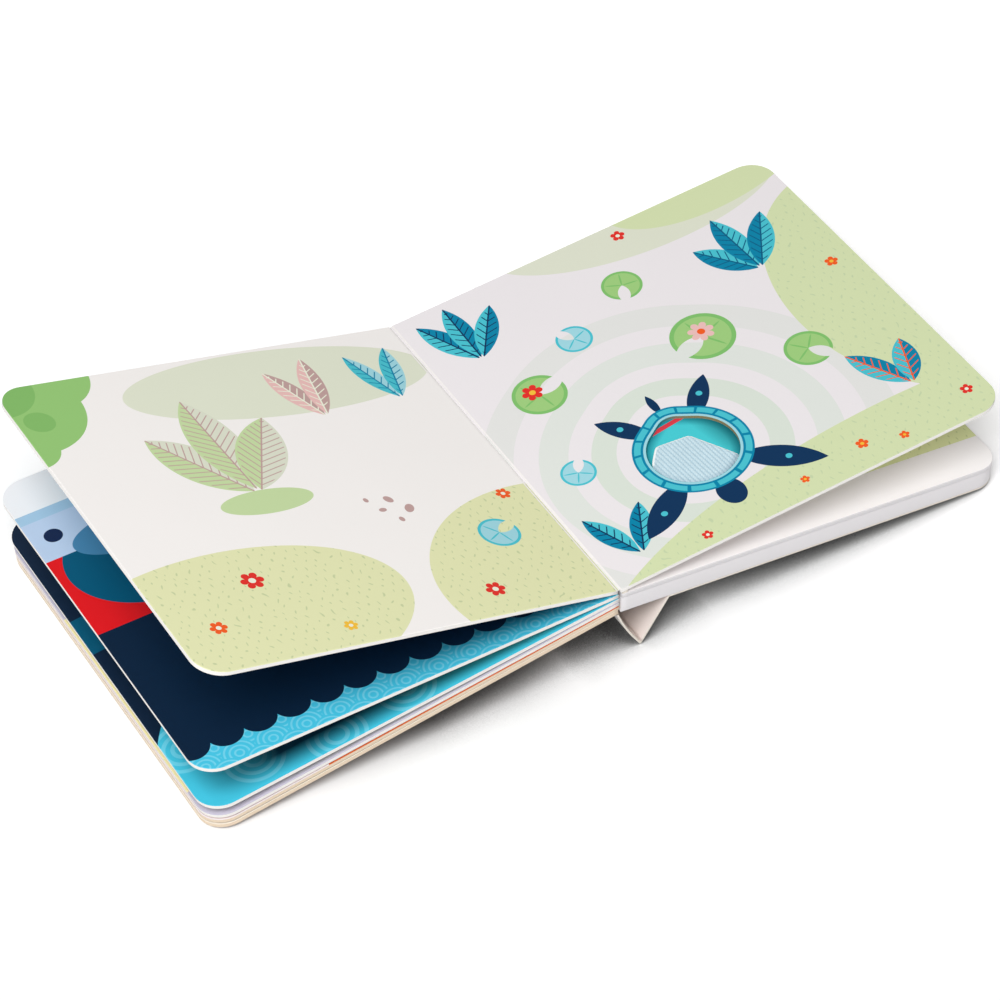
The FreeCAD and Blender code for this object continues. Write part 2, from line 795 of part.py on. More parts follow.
def board_corners():
    inset = D.post_round + 0.4
    x_low, y_low = D.board_x + inset, D.board_y + inset
    return [(x, y) for x in (x_low, D.board_x + D.board_length - inset)
            for y in (y_low, D.board_y + D.board_width - inset)]


def make_circuit_board():
    body = new_body("circuit_board")
    sketch = new_sketch(body)
    draw_rectangle(sketch, 0, 0, D.board_length, D.board_width)
    add_feature(body, "Pad", sketch, D.board_thick)
    return seat_in_module(body, D.board_x.value, D.board_y.value, D.board_rise.value)


def make_sound_chip():
    """The chip under its drop of resin: a low dome on the circuit board."""
    body = new_body("sound_chip")
    sketch = new_sketch(body)
    draw_circle(sketch, 0, 0, D.chip_round)
    add_feature(body, "Pad", sketch, D.chip_height)
    top = D.chip_height.value

    def top_rim(edge):
        return edge.BoundBox.ZMin > top - 1e-6

    round_edges(body, top_rim, D.chip_height * 0.8)
    return seat_in_module(body, (D.board_x + D.chip_round + 2.0).value,
                          (D.board_y + D.board_width - D.chip_round - 1.5).value,
                          (D.board_rise + D.board_thick).value)


def turned(label, corners):
    """A turned piece: a closed profile of radius and height, carried round the Z axis."""
    body = new_body(label)
    sketch = new_sketch(body, role="XZ_Plane")
    draw_outline(sketch, corners)
    ring = body.newObject("PartDesign::Revolution", f"{label}_revolution")
    ring.Profile = sketch
    ring.ReferenceAxis = (sketch, ["V_Axis"])
    ring.Angle = 360
    doc.recompute()
    return body


def make_speaker():
    """The loudspeaker: a pressed frame, its paper cone and its magnet on the back."""
    rim = D.speaker_round
    wall = D.cone_thick * 2
    height = D.speaker_height
    frame = turned("speaker_frame", [
        (rim - wall * 2, 0), (rim, 0), (rim, height / 2), (D.magnet_round, height),
        (0, height), (0, height - wall), (D.magnet_round - wall, height - wall),
        (rim - wall * 2, height / 2 - wall / 2)])
    cone_rim = rim - wall * 2 - D.cone_clear
    cone = turned("speaker_cone", [
        (0, D.cone_thick * 2), (D.magnet_round / 2, D.cone_thick * 2),
        (cone_rim - 1.5, D.cone_clear), (cone_rim, D.cone_clear),
        (cone_rim, D.cone_clear + D.cone_thick), (cone_rim - 1.5, D.cone_clear + D.cone_thick),
        (D.magnet_round / 2, D.cone_thick * 3), (0, D.cone_thick * 3)])
    magnet = turned("speaker_magnet", [
        (0, 0), (D.magnet_round, 0), (D.magnet_round, D.magnet_height), (0, D.magnet_height)])
    x, y, base = D.speaker_x.value, D.speaker_y.value, D.module_wall.value
    seat_in_module(frame, x, y, base)
    seat_in_module(cone, x, y, base)
    seat_in_module(magnet, x, y, base + height.value)
    return [frame, cone, magnet]


def make_cells():
    """Three button cells in a row, each with its rolled edge."""
    cells = []
    for number in range(CELL_COUNT):
        x, y = cell_spot(number)
        step = D.cell_height / 6
        cell = turned(f"button_cell_{number + 1}", [
            (0, 0), (D.cell_round, 0), (D.cell_round, D.cell_height - step * 2),
            (D.cell_round - step, D.cell_height - step), (D.cell_round - step * 3,
                                                          D.cell_height - step),
            (D.cell_round - step * 3, D.cell_height), (0, D.cell_height)])
        cells.append(seat_in_module(cell, x.value, y.value, bay_floor().value))
    return cells


def make_contact(label, first, last, z):
    """A sprung contact strip lying over the cells from number first to number last."""
    strip = primitive("Box", label, Length=D.cell_round + D.cell_pitch * (last - first),
                      Width=D.cell_round, Height=D.contact_thick)
    x, y = cell_spot(first)
    return seat_in_module(strip, (x - D.cell_round / 2).value, (y - D.cell_round / 2).value,
                          z.value)


def make_contacts():
    above = bay_ceiling() - D.contact_thick
    below = bay_floor() - D.contact_thick
    return [make_contact("contact_plus", 0, 0, above), make_contact("contact_link", 1, 2, above),
            make_contact("contact_door", 0, 1, below), make_contact("contact_minus", 2, 2, below)]


def make_battery_door():
    """The screwed battery door, flush in the case's floor."""
    body = new_body("battery_door")
    sketch = new_sketch(body)
    draw_rectangle(sketch, 0, 0, D.door_length, D.door_width)
    add_feature(body, "Pad", sketch, D.door_thick)
    round_edges(body, all_upright, D.module_wall / 2)
    screw_x, screw_y = door_screw_spot()
    hole = new_sketch(body)
    draw_circle(hole, screw_x - D.door_x, screw_y - D.door_y, D.screw_round + D.door_clear / 2)
    add_feature(body, "Pocket", hole, through=True)
    sink = new_sketch(body)
    draw_circle(sink, screw_x - D.door_x, screw_y - D.door_y, D.screw_head_round + D.door_clear)
    add_feature(body, "Pocket", sink, door_sink(), reverse=True)
    return seat_in_module(body, D.door_x.value, D.door_y.value)


def door_sink():
    """How far the door screw's head is let into the door."""
    return D.door_thick * 0.6


def make_door_screw():
    x, y = door_screw_spot()
    return make_screw("door_screw", x, y, door_sink(), down=False)


def make_switch():
    """The slide switch: its body on the case's floor and its knob in the slot."""
    body = primitive("Box", "switch_body", Length=D.switch_length + D.knob_travel,
                     Width=D.switch_width, Height=D.switch_height)
    seat_in_module(body, (D.switch_x - D.switch_length / 2).value,
                   (D.switch_y - D.switch_width / 2).value, D.module_wall.value)
    knob = new_body("switch_knob")
    sketch = new_sketch(knob)
    draw_rectangle(sketch, -(D.knob_length / 2), -(D.knob_width / 2), D.knob_length / 2,
                   D.knob_width / 2)
    tall = D.knob_proud + D.module_wall - D.door_clear
    add_feature(knob, "Pad", sketch, tall)
    round_edges(knob, all_upright, D.door_clear * 2)
    seat_in_module(knob, D.switch_x.value, D.switch_y.value, -D.knob_proud.value)
    return [body, knob]


def make_touch_button():
    """The press button under the touch window, and the snap dome that it works."""
    top = D.block_height - D.cover_card - D.face_sheet - D.button_clear
    flange_top = D.module_height - D.button_clear
    flange_base = D.board_rise + D.board_thick + D.dome_height + D.button_lift
    wide = D.button_round + D.button_flange
    button = turned("touch_button", [
        (0, flange_base), (wide, flange_base), (wide, flange_top), (D.button_round, flange_top),
        (D.button_round, top), (0, top)])
    seat_in_module(button, D.button_x.value, D.button_y.value, 0.0)
    board_top = D.board_rise + D.board_thick
    dome = turned("snap_dome", [
        (0, 0), (D.dome_round, 0), (D.dome_round - D.dome_height * 2, D.dome_height),
        (0, D.dome_height)])
    seat_in_module(dome, D.button_x.value, D.button_y.value, board_top.value)
    return [button, dome]


def make_leads(label, routes):
    """Thin insulated leads: round wire along straight runs joined by tangent arcs."""
    wires = []
    for route in routes:
        spots = [Vec(*spot) for spot in route]
        path = Part.Wire(tangent_path(spots))
        ring = Part.Wire(Part.Circle(spots[0], spots[1] - spots[0], D.lead_round.value).toShape())
        wires.append(path.makePipeShell([ring], True, False))
    leads = doc.addObject("Part::Feature", label)
    leads.Shape = Part.makeCompound(wires)
    return seat_in_module(leads)


def tangent_path(spots):
    """Straight runs through spots, each inner corner turned by an arc as large as fits."""
    edges = []
    start = spots[0]
    for before, corner, after in zip(spots, spots[1:], spots[2:]):
        run_in, run_out = corner - before, after - corner
        turn = run_in.getAngle(run_out)
        reach = 0.45 * min(run_in.Length, run_out.Length)
        begin = corner - run_in.normalize() * reach
        end = corner + run_out.normalize() * reach
        radius = reach / math.tan(turn / 2)
        inward = (begin + end) * 0.5 - corner
        middle = corner + inward.normalize() * (math.hypot(radius, reach) - radius)
        edges += [Part.LineSegment(start, begin).toShape(), Part.Arc(begin, middle, end).toShape()]
        start = end
    return edges + [Part.LineSegment(start, spots[-1]).toShape()]


def make_all_leads():
    """The speaker's two leads and the battery's two leads, soldered to the board."""
    over = (D.board_rise + D.board_thick + D.lead_round).value
    board_end = (D.board_x + D.board_length).value
    landing = (D.speaker_round + D.magnet_round) / 2 - 1.2
    speaker_edge = (D.speaker_x - landing).value
    speaker_top = (D.module_wall + D.speaker_height + D.lead_round / 2).value
    speaker = make_leads("speaker_leads", [
        [(board_end - 3.0, y, over), (board_end + 2.5, y + 1.0, over),
         (speaker_edge, D.speaker_y.value - 2.0 + k * 4.0, speaker_top)]
        for k, y in enumerate((12.0, 17.0))])
    cell_x = cell_spot(CELL_COUNT - 1)[0].value
    bay_edge = (D.door_y - D.module_wall).value
    battery = make_leads("battery_leads", [
        [(x, bay_edge - 9.0, over), (x + 1.5, bay_edge - 4.5, over), (x + 1.0, bay_edge - 0.5, over)]
        for x in (cell_x - 6.0, cell_x)])
    return [speaker, battery]


# ---------------------------------------------------------------- build, check and write

def build():
    card = FreeCard()
    case_screws = doc.addObject("Part::Compound", "case_screws")
    case_screws.Links = make_case_screws()
    items = [make_left_pages(), make_front_cover(), make_right_leaf(), make_knit_patch(),
             make_block_tray(), make_block_core(), make_back_cover(), card.make_margin(),
             card.make_spine(), make_module_base(), make_module_lid(), case_screws,
             make_circuit_board(), make_sound_chip(), make_battery_door(), make_door_screw()]
    items += make_speaker() + make_cells() + make_contacts() + make_switch()
    items += make_touch_button() + make_all_leads()
    return items


def write(items):
    doc.recompute()
    for item in doc.Objects:
        if "Invalid" in item.State or "Error" in item.State:
            raise RuntimeError(f"{item.Label} did not build: {item.State}")
    for item in items:
        if item.Shape.isNull() or not item.Shape.isValid():
            raise RuntimeError(f"{item.Label} has no valid shape")
    os.makedirs("parts", exist_ok=True)
    for item in items:
        item.Shape.exportStep(f"parts/{item.Label}.step")
        print(f"{item.Label:16s} {len(item.Shape.Solids)} solid(s) {item.Shape.Volume:12.2f} mm3")


write(build())
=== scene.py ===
"""A square sound book standing open at its first spread.

The left half is five fanned leaves on the front cover. The right half is one leaf with a
touch window over a sound block, whose module shows in the back cover. The free part of the
cover card hangs under the spine as a V.
"""

import logging
import math
from dataclasses import dataclass, field
from enum import Enum
from typing import Any, Optional, Protocol, Sequence, Union

import bpy
import numpy as np
from mathutils import Matrix, Vector


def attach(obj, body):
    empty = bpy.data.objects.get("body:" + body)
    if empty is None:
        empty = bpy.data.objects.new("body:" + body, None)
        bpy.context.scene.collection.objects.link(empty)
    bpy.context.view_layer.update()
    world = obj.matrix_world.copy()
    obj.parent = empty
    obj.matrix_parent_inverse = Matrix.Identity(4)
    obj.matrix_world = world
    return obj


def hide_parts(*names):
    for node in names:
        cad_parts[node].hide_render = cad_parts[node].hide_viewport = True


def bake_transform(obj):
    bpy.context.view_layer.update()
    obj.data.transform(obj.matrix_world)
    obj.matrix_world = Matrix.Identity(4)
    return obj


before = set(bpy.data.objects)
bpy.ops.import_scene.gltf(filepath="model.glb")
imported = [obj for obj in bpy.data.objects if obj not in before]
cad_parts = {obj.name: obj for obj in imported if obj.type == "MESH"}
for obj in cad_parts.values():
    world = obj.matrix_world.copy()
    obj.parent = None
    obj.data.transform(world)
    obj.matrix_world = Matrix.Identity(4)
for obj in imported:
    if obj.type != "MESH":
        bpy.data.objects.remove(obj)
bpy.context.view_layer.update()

LOG = logging.getLogger("sound_book")
MM = 0.001
PRINT_UV = "print"
EDGE_UV = "edge"
Ink = tuple[float, float, float, float]
SOFT = 0.12


def ink(red: int, green: int, blue: int) -> Ink:
    """A printed colour, given on the usual 0 to 255 scale, as linear light.

    Args:
        red: Its red, from 0 to 255.
        green: Its green, likewise.
        blue: Its blue, likewise.

    Returns:
        Its red, green and blue from 0 to 1, and a 1.
    """
    shares = np.array([red, green, blue]) / 255
    linear = np.where(shares <= 0.04045, shares / 12.92, ((shares + 0.055) / 1.055) ** 2.4)
    return (*map(float, linear), 1.0)


BLACK, WHITE = (0, 0, 0, 1), (1, 1, 1, 1)


# ---------------------------------------------------------------- material nodes

class Wire:
    """One value running through a material; arithmetic on it adds Math nodes."""

    def __init__(self, graph: "Graph", socket: Any) -> None:
        """Wrap one output socket of a graph."""
        self.graph = graph
        self.socket = socket

    def __add__(self, other: "Number") -> "Wire":
        """Sum."""
        return self.graph.math("ADD", self, other)

    __radd__ = __add__

    def __sub__(self, other: "Number") -> "Wire":
        """Difference."""
        return self.graph.math("SUBTRACT", self, other)

    def __rsub__(self, other: "Number") -> "Wire":
        """Difference, with this value taken from the other."""
        return self.graph.math("SUBTRACT", other, self)

    def __mul__(self, other: "Number") -> "Wire":
        """Product."""
        return self.graph.math("MULTIPLY", self, other)

    __rmul__ = __mul__

    def __truediv__(self, other: "Number") -> "Wire":
        """Quotient."""
        return self.graph.math("DIVIDE", self, other)

    def __rtruediv__(self, other: "Number") -> "Wire":
        """Quotient, with this value below."""
        return self.graph.math("DIVIDE", other, self)

    def __abs__(self) -> "Wire":
        """Size without sign."""
        return self.graph.math("ABSOLUTE", self)

    def fraction(self) -> "Wire":
        """What is left above the whole number."""
        return self.graph.math("FRACT", self)


Number = Union[Wire, float]


class Graph:
    """A node tree that values run through, from empty."""

    def __init__(self, owner: Union[bpy.types.Material, bpy.types.World]) -> None:
        """Empty the node tree of a material or a world and keep it.

        Args:
            owner: What the tree belongs to.
        """
        owner.use_nodes = True
        self.tree = owner.node_tree
        self.tree.nodes.clear()

    def node(self, kind: str, settings: Optional[dict] = None, inputs: Optional[dict] = None,
             output: Union[int, str] = 0) -> Wire:
        """Add one node.

        Args:
            kind: The node's type, without its ShaderNode prefix.
            settings: Properties, set first; stops is a ramp's list of (place, colour).
            inputs: Values, tones or links, by the socket's name or number.
            output: Which output to return, by its number or name.

        Returns:
            The chosen output.
        """
        made = self.tree.nodes.new("ShaderNode" + kind)
        for key, value in (settings or {}).items():
            if key == "stops":
                marks = made.color_ramp.elements
                while len(marks) < len(value):
                    marks.new(0.5)
                for mark, (place, colour) in zip(marks, value):
                    mark.position, mark.color = place, colour
            else:
                setattr(made, key, value)
        for key, value in (inputs or {}).items():
            if isinstance(value, Wire):
                self.tree.links.new(value.socket, made.inputs[key])
            else:
                made.inputs[key].default_value = value.value if isinstance(value, Enum) else value
        return Wire(self, made.outputs[output])

    def math(self, operation: str, *values: Number, clamp: bool = False) -> Wire:
        """One Math node on up to three numbers."""
        return self.node("Math", {"operation": operation, "use_clamp": clamp},
                         dict(enumerate(values)))

    def vector(self, operation: str, *values: Any, number: bool = False) -> Wire:
        """One Vector Math node; number asks for its value output."""
        return self.node("VectorMath", {"operation": operation}, dict(enumerate(values)),
                         output=1 if number else 0)

    def mix(self, share: Number, under: Any, over: Any) -> Wire:
        """Colour under with colour over laid on it by a share from 0 to 1."""
        return self.node("Mix", {"data_type": "RGBA"}, {0: share, 6: under, 7: over}, output=2)

    def parts(self, point: Wire) -> tuple[Wire, Wire, Wire]:
        """The three numbers of a point.

        Args:
            point: The point.

        Returns:
            Its x, y and z.
        """
        first = self.node("SeparateXYZ", None, {0: point})
        outputs = first.socket.node.outputs
        return first, Wire(self, outputs[1]), Wire(self, outputs[2])

    def point(self, across: Number, along: Number, up: Number = 0.0) -> Wire:
        """A point from its three numbers."""
        return self.node("CombineXYZ", None, {0: across, 1: along, 2: up})

    def place(self, point: Wire, x: float, y: float, turn: float = 0.0,
              scale: Sequence[float] = (1, 1)) -> Wire:
        """The point as seen from x, y, turned by an angle in radians and scaled down.

        Args:
            point: The place.
            x: The new origin's x.
            y: The new origin's y.
            turn: The new x axis's angle.
            scale: The length that counts as 1 along each axis.

        Returns:
            The place in the new frame.
        """
        return self.node("Mapping", {"vector_type": "TEXTURE"},
                         {"Vector": point, "Location": (x, y, 0), "Rotation": (0, 0, turn),
                          "Scale": (scale[0], scale[1], 1)})

    def fill(self, depth: Wire, soft: float = SOFT) -> Wire:
        """1 inside an outline and 0 outside it, from the depth in millimetres inside it."""
        return self.math("MULTIPLY_ADD", depth, 1 / soft, 0.5, clamp=True)

    def both(self, first: Wire, second: Wire) -> Wire:
        """Where both masks are full."""
        return self.math("MULTIPLY", first, second)

    def uv(self, name: str) -> Wire:
        """The piece's own UV map."""
        return self.node("UVMap", {"uv_map": name})

    def spot(self, scale: float = 1000.0) -> Wire:
        """The place on the object, in millimetres unless scaled otherwise."""
        place = self.node("TexCoord", None, None, "Object")
        return self.vector("MULTIPLY", place, (scale, scale, scale))

    def noise(self, point: Wire, scale: float, detail: float = 2.0, rough: float = 0.5) -> Wire:
        """Soft noise from 0 to 1."""
        return self.node("TexNoise", {"noise_dimensions": "3D"},
                         {"Vector": point, "Scale": scale, "Detail": detail, "Roughness": rough})

    def tint(self, colour: Any, noise: Wire, share: float) -> Wire:
        """A colour made up to a share lighter and darker by noise.

        Args:
            colour: The colour, fixed or changing.
            noise: Noise from 0 to 1.
            share: How far the colour strays to either side.

        Returns:
            The uneven colour.
        """
        level = self.math("MULTIPLY_ADD", noise, 2 * share, 1 - share)
        start = colour if isinstance(colour, Wire) else colour[:3]
        return self.node("VectorMath", {"operation": "SCALE"}, {0: start, "Scale": level})

    def seen(self) -> Wire:
        """1 where the eye looks, straight or by way of a reflection or of glass.

        Returns:
            1 for such a look and 0 for any other.
        """
        straight, mirrored, through = (
            self.node("LightPath", output=f"Is {kind} Ray")
            for kind in ("Camera", "Glossy", "Transmission"))
        return self.math("MAXIMUM", self.math("MAXIMUM", straight, mirrored), through)


class Paint(Graph):
    """The node tree of one material with one shader."""

    def __init__(self, name: str, **shader: Any) -> None:
        """Start a material whose shader has the given fixed socket values.

        Args:
            name: The material's name.
            **shader: Values of the shader's sockets, named with _ for a space.
        """
        self.material = bpy.data.materials.new(name)
        super().__init__(self.material)
        output = self.tree.nodes.new("ShaderNodeOutputMaterial")
        self.shader = self.tree.nodes.new("ShaderNodeBsdfPrincipled")
        self.tree.links.new(self.shader.outputs[0], output.inputs[0])
        for key, value in shader.items():
            self.shader.inputs[key.replace("_", " ")].default_value = value

    def feed(self, **values: Wire) -> None:
        """Link values that change over the surface to the shader's sockets."""
        for key, value in values.items():
            self.tree.links.new(value.socket, self.shader.inputs[key.replace("_", " ")])

    def finish(self, colour: Wire, sheen: Wire, spread: float, least: float, relief: Wire,
               depth: float) -> bpy.types.Material:
        """Feed the shader its colour, its roughness and its relief.

        Args:
            colour: The surface's colour.
            sheen: Noise from 0 to 1 that the roughness follows.
            spread: What the noise adds to the roughness at 1.
            least: The roughness where the noise is 0.
            relief: The surface's height from 0 to 1.
            depth: What a height of 1 is in metres.

        Returns:
            The finished material.
        """
        self.feed(Base_Color=colour, Roughness=self.math("MULTIPLY_ADD", sheen, spread, least),
                  Normal=self.node("Bump", None, {"Height": relief, "Distance": depth,
                                                  "Strength": 1.0}))
        return self.material


# ---------------------------------------------------------------- printed shapes

class Shape(Protocol):
    """An area of a printed picture."""

    def mask(self, g: Graph, p: Wire) -> Wire:
        """1 in the area and 0 outside it; p is the place on the page in millimetres."""
        ...


@dataclass(frozen=True)
class Disc:
    """A round spot."""
    x: float
    y: float
    r: float

    def mask(self, g: Graph, p: Wire) -> Wire:
        """Distance from the centre less than r."""
        away = g.vector("DISTANCE", p, (self.x, self.y, 0), number=True)
        return g.fill(self.r - away)


@dataclass(frozen=True)
class Oval:
    """An ellipse, its long way turned by degrees."""
    x: float
    y: float
    rx: float
    ry: float
    turn: float = 0.0

    def mask(self, g: Graph, p: Wire) -> Wire:
        """Length of the place scaled to the ellipse's two radii less than 1.

        Args:
            g: The material's nodes.
            p: The place on the page in millimetres.

        Returns:
            1 in the area and 0 outside it.
        """
        q = g.place(p, self.x, self.y, math.radians(self.turn), (self.rx, self.ry))
        far = g.vector("LENGTH", q, number=True)
        return g.fill(1 - far, SOFT / min(self.rx, self.ry))


def stroke(x0: float, y0: float, x1: float, y1: float, half: float) -> Oval:
    """A pen stroke that thins towards both of its ends."""
    return Oval((x0 + x1) / 2, (y0 + y1) / 2, math.hypot(x1 - x0, y1 - y0) / 2, half,
                math.degrees(math.atan2(y1 - y0, x1 - x0)))


@dataclass(frozen=True)
class Lens:
    """A pointed leaf shape from tip to tip, where two large circles overlap."""
    x0: float
    y0: float
    x1: float
    y1: float
    half: float

    def mask(self, g: Graph, p: Wire) -> Wire:
        """Inside both circles that pass through the two tips.

        Args:
            g: The material's nodes.
            p: The place on the page in millimetres.

        Returns:
            1 in the area and 0 outside it.
        """
        run = math.hypot(self.x1 - self.x0, self.y1 - self.y0)
        radius = (run * run / 4 + self.half ** 2) / (2 * self.half)
        back = (radius - self.half) / run
        nx, ny = (self.y0 - self.y1) * back, (self.x1 - self.x0) * back
        mx, my = (self.x0 + self.x1) / 2, (self.y0 + self.y1) / 2
        one = g.vector("DISTANCE", p, (mx + nx, my + ny, 0), number=True)
        two = g.vector("DISTANCE", p, (mx - nx, my - ny, 0), number=True)
        return g.fill(radius - g.math("MAXIMUM", one, two))


@dataclass(frozen=True)
class Side:
    """Everything on one side of a straight line through x, y, where the line's normal points."""
    x: float
    y: float
    toward: float
    soft: float = SOFT

    def mask(self, g: Graph, p: Wire) -> Wire:
        """Distance past the line along its normal more than 0.

        Args:
            g: The material's nodes.
            p: The place on the page in millimetres.

        Returns:
            1 in the area and 0 outside it.
        """
        normal = (math.cos(math.radians(self.toward)), math.sin(math.radians(self.toward)), 0)
        past = g.vector("DOT_PRODUCT", p, normal, number=True)
        return g.fill(past - (self.x * normal[0] + self.y * normal[1]), self.soft)


@dataclass(frozen=True)
class Blossom:
    """A flower seen from above, with round petals."""
    x: float
    y: float
    r: float
    petals: int = 5
    turn: float = 0.0

    def mask(self, g: Graph, p: Wire) -> Wire:
        """Distance from the middle less than a radius that rises and falls once per petal.

        Args:
            g: The material's nodes.
            p: The place on the page in millimetres.

        Returns:
            1 in the area and 0 outside it.
        """
        q = g.place(p, self.x, self.y, math.radians(self.turn))
        across, along, _ = g.parts(q)
        swell = abs(g.math("COSINE", g.math("ARCTAN2", along, across) * (self.petals / 2)))
        edge = g.math("MULTIPLY_ADD", g.math("SQRT", swell), 0.5 * self.r, 0.5 * self.r)
        return g.fill(edge - g.vector("LENGTH", q, number=True))


@dataclass(frozen=True)
class Ticks:
    """Small upright marks in staggered rows."""
    wide: float
    deep: float
    half_wide: float
    half_deep: float

    def mask(self, g: Graph, p: Wire) -> Wire:
        """A thin oval in every cell of a grid that a slow noise pulls out of true.

        Args:
            g: The material's nodes.
            p: The place on the page in millimetres.

        Returns:
            1 in the area and 0 outside it.
        """
        pull = g.node("TexNoise", {"noise_dimensions": "3D"},
                      {"Vector": p, "Scale": 0.09, "Detail": 1.0}, "Color")
        across, along, _ = g.parts(g.vector("MULTIPLY_ADD", pull, (9, 9, 0), p))
        row = along / self.deep
        shift = g.math("MODULO", g.math("FLOOR", row) + 200.0, 2.0) * 0.5
        u = ((across / self.wide + shift + 100.0).fraction() - 0.5) * (self.wide / self.half_wide)
        v = ((row + 100.0).fraction() - 0.5) * (self.deep / self.half_deep)
        far = g.vector("LENGTH", g.point(u, v), number=True)
        return g.fill(1 - far, 0.6)


@dataclass(frozen=True)
class Within:
    """A shape kept to an area."""
    shape: Shape
    area: Shape

    def mask(self, g: Graph, p: Wire) -> Wire:
        """Inside both."""
        return g.both(self.shape.mask(g, p), self.area.mask(g, p))


@dataclass(frozen=True)
class Without:
    """A shape with a bite taken out of it."""
    shape: Shape
    bite: Shape

    def mask(self, g: Graph, p: Wire) -> Wire:
        """Inside the first and outside the second."""
        return g.both(self.shape.mask(g, p), 1 - self.bite.mask(g, p))


@dataclass(frozen=True)
class Either:
    """Several shapes as one."""
    shapes: tuple

    def mask(self, g: Graph, p: Wire) -> Wire:
        """Inside any of them.

        Args:
            g: The material's nodes.
            p: The place on the page in millimetres.

        Returns:
            1 in the area and 0 outside it.
        """
        found = self.shapes[0].mask(g, p)
        for shape in self.shapes[1:]:
            found = g.math("MAXIMUM", found, shape.mask(g, p))
        return found


@dataclass(frozen=True)
class EggBand:
    """The band between two distances outside an egg of two circles, or all up to the far one."""
    x: float
    y: float
    base: float
    rise: float
    crown: float
    near: Optional[float]
    far: float
    soft: float = SOFT

    def mask(self, g: Graph, p: Wire) -> Wire:
        """Distance to the round-ended cone less than far and, unless near is None, above it.

        The nearest circle of the cone lies a share of the rise up, found by dropping the
        place along the slope of the egg's side; its radius runs from base to crown.

        Args:
            g: The material's nodes.
            p: The place on the page in millimetres.

        Returns:
            1 in the area and 0 outside it.
        """
        across, along, _ = g.parts(g.place(p, self.x, self.y))
        slope = (self.base - self.crown) / self.rise
        level = math.sqrt(1 - slope * slope)
        side = abs(across)
        share = g.math("MULTIPLY_ADD", along, 1 / self.rise,
                       side * (-slope / (level * self.rise)), clamp=True)
        away = g.vector("LENGTH", g.point(side, along - share * self.rise), number=True)
        out = away - g.math("MULTIPLY_ADD", share, self.crown - self.base, self.base)
        inside = g.fill(self.far - out)
        if self.near is None:
            return inside
        return g.both(inside, g.fill(out - self.near, self.soft))


@dataclass(frozen=True)
class Layer:
    """One printed area in one ink."""
    shape: Shape
    ink: Union[Ink, Enum]

    def lay(self, g: Graph, p: Wire, under: Any) -> Wire:
        """The colour with this layer printed on it."""
        return g.mix(self.shape.mask(g, p), under, self.ink)


@dataclass(frozen=True)
class Frond:
    """A broad leaf in two tones with a midrib and slanting veins."""
    x0: float
    y0: float
    x1: float
    y1: float
    half: float
    light: Enum
    dark: Enum
    vein: Enum
    pitch: float = 4.2

    def lay(self, g: Graph, p: Wire, under: Any) -> Wire:
        """The colour with the leaf printed on it.

        In the leaf's own frame u runs from tip to tip and v across. The outline is two arcs
        through the tips, one half is darker, and the veins are where u less v's size, counted
        in pitches, is near a whole number.

        Args:
            g: The material's nodes.
            p: The place on the page in millimetres.
            under: The colour below.

        Returns:
            The new colour.
        """
        run = math.hypot(self.x1 - self.x0, self.y1 - self.y0)
        radius = (run * run / 4 + self.half ** 2) / (2 * self.half)
        q = g.place(p, (self.x0 + self.x1) / 2, (self.y0 + self.y1) / 2,
                    math.atan2(self.y1 - self.y0, self.x1 - self.x0))
        u, v, _ = g.parts(q)
        side = abs(v)
        away = g.vector("LENGTH", g.point(u, side + (radius - self.half)), number=True)
        leaf = g.fill(radius - away)
        colour = g.mix(leaf, under, self.light)
        colour = g.mix(g.both(leaf, g.fill(v)), colour, self.dark)
        saw = ((u - side * 0.9) / self.pitch + 50.0).fraction()
        veins = g.fill(0.085 * self.pitch - abs(saw - 0.5) * self.pitch, 0.16)
        inner = g.fill(radius - 1.0 - away, 0.3)
        rib = g.fill(0.36 - side)
        lines = g.both(g.math("MAXIMUM", g.both(veins, inner), rib), leaf)
        return g.mix(lines, colour, self.vein)


@dataclass(frozen=True)
class Waves:
    """Rows of overlapping round scales with rings in them, the old sea-wave pattern."""
    wide: float
    area: Shape
    line: Ink
    rings: float = 3.0
    apart: float = 0.25
    start: float = 0.0

    def lay(self, g: Graph, p: Wire, under: Any) -> Wire:
        """The colour with the pattern printed on it.

        Rows lie a share of a scale apart and each second row is moved half a scale. Of the
        discs that reach a place, the one in the frontmost row wins, and its rings are where
        the distance from its centre, counted in ring widths, is in the first part of a whole.

        Args:
            g: The material's nodes.
            p: The place on the page in millimetres.
            under: The colour below.

        Returns:
            The new colour.
        """
        across, along, _ = g.parts(g.place(p, 0, self.start))
        step = self.wide * self.apart
        row = g.math("FLOOR", along / step)
        best: Optional[Wire] = None
        for back in (2, 1, 0) if self.apart < 0.4 else (0, -1):
            level = row - float(back)
            shift = g.math("MODULO", level + 400.0, 2.0) * 0.5
            u = ((across / self.wide + shift + 100.0).fraction() - 0.5) * self.wide
            v = along - level * step
            away = g.vector("LENGTH", g.point(u, v), number=True) / (self.wide / 2)
            if best is None:
                best = away
            else:
                here = g.math("LESS_THAN", best, 1.0)
                best = g.math("MULTIPLY_ADD", here, best, (1 - here) * away)
        saw = (best * self.rings).fraction()
        lines = g.fill(saw - 0.62, 0.16)
        return g.mix(g.both(lines, self.area.mask(g, p)), under, self.line)


# ---------------------------------------------------------------- surfaces

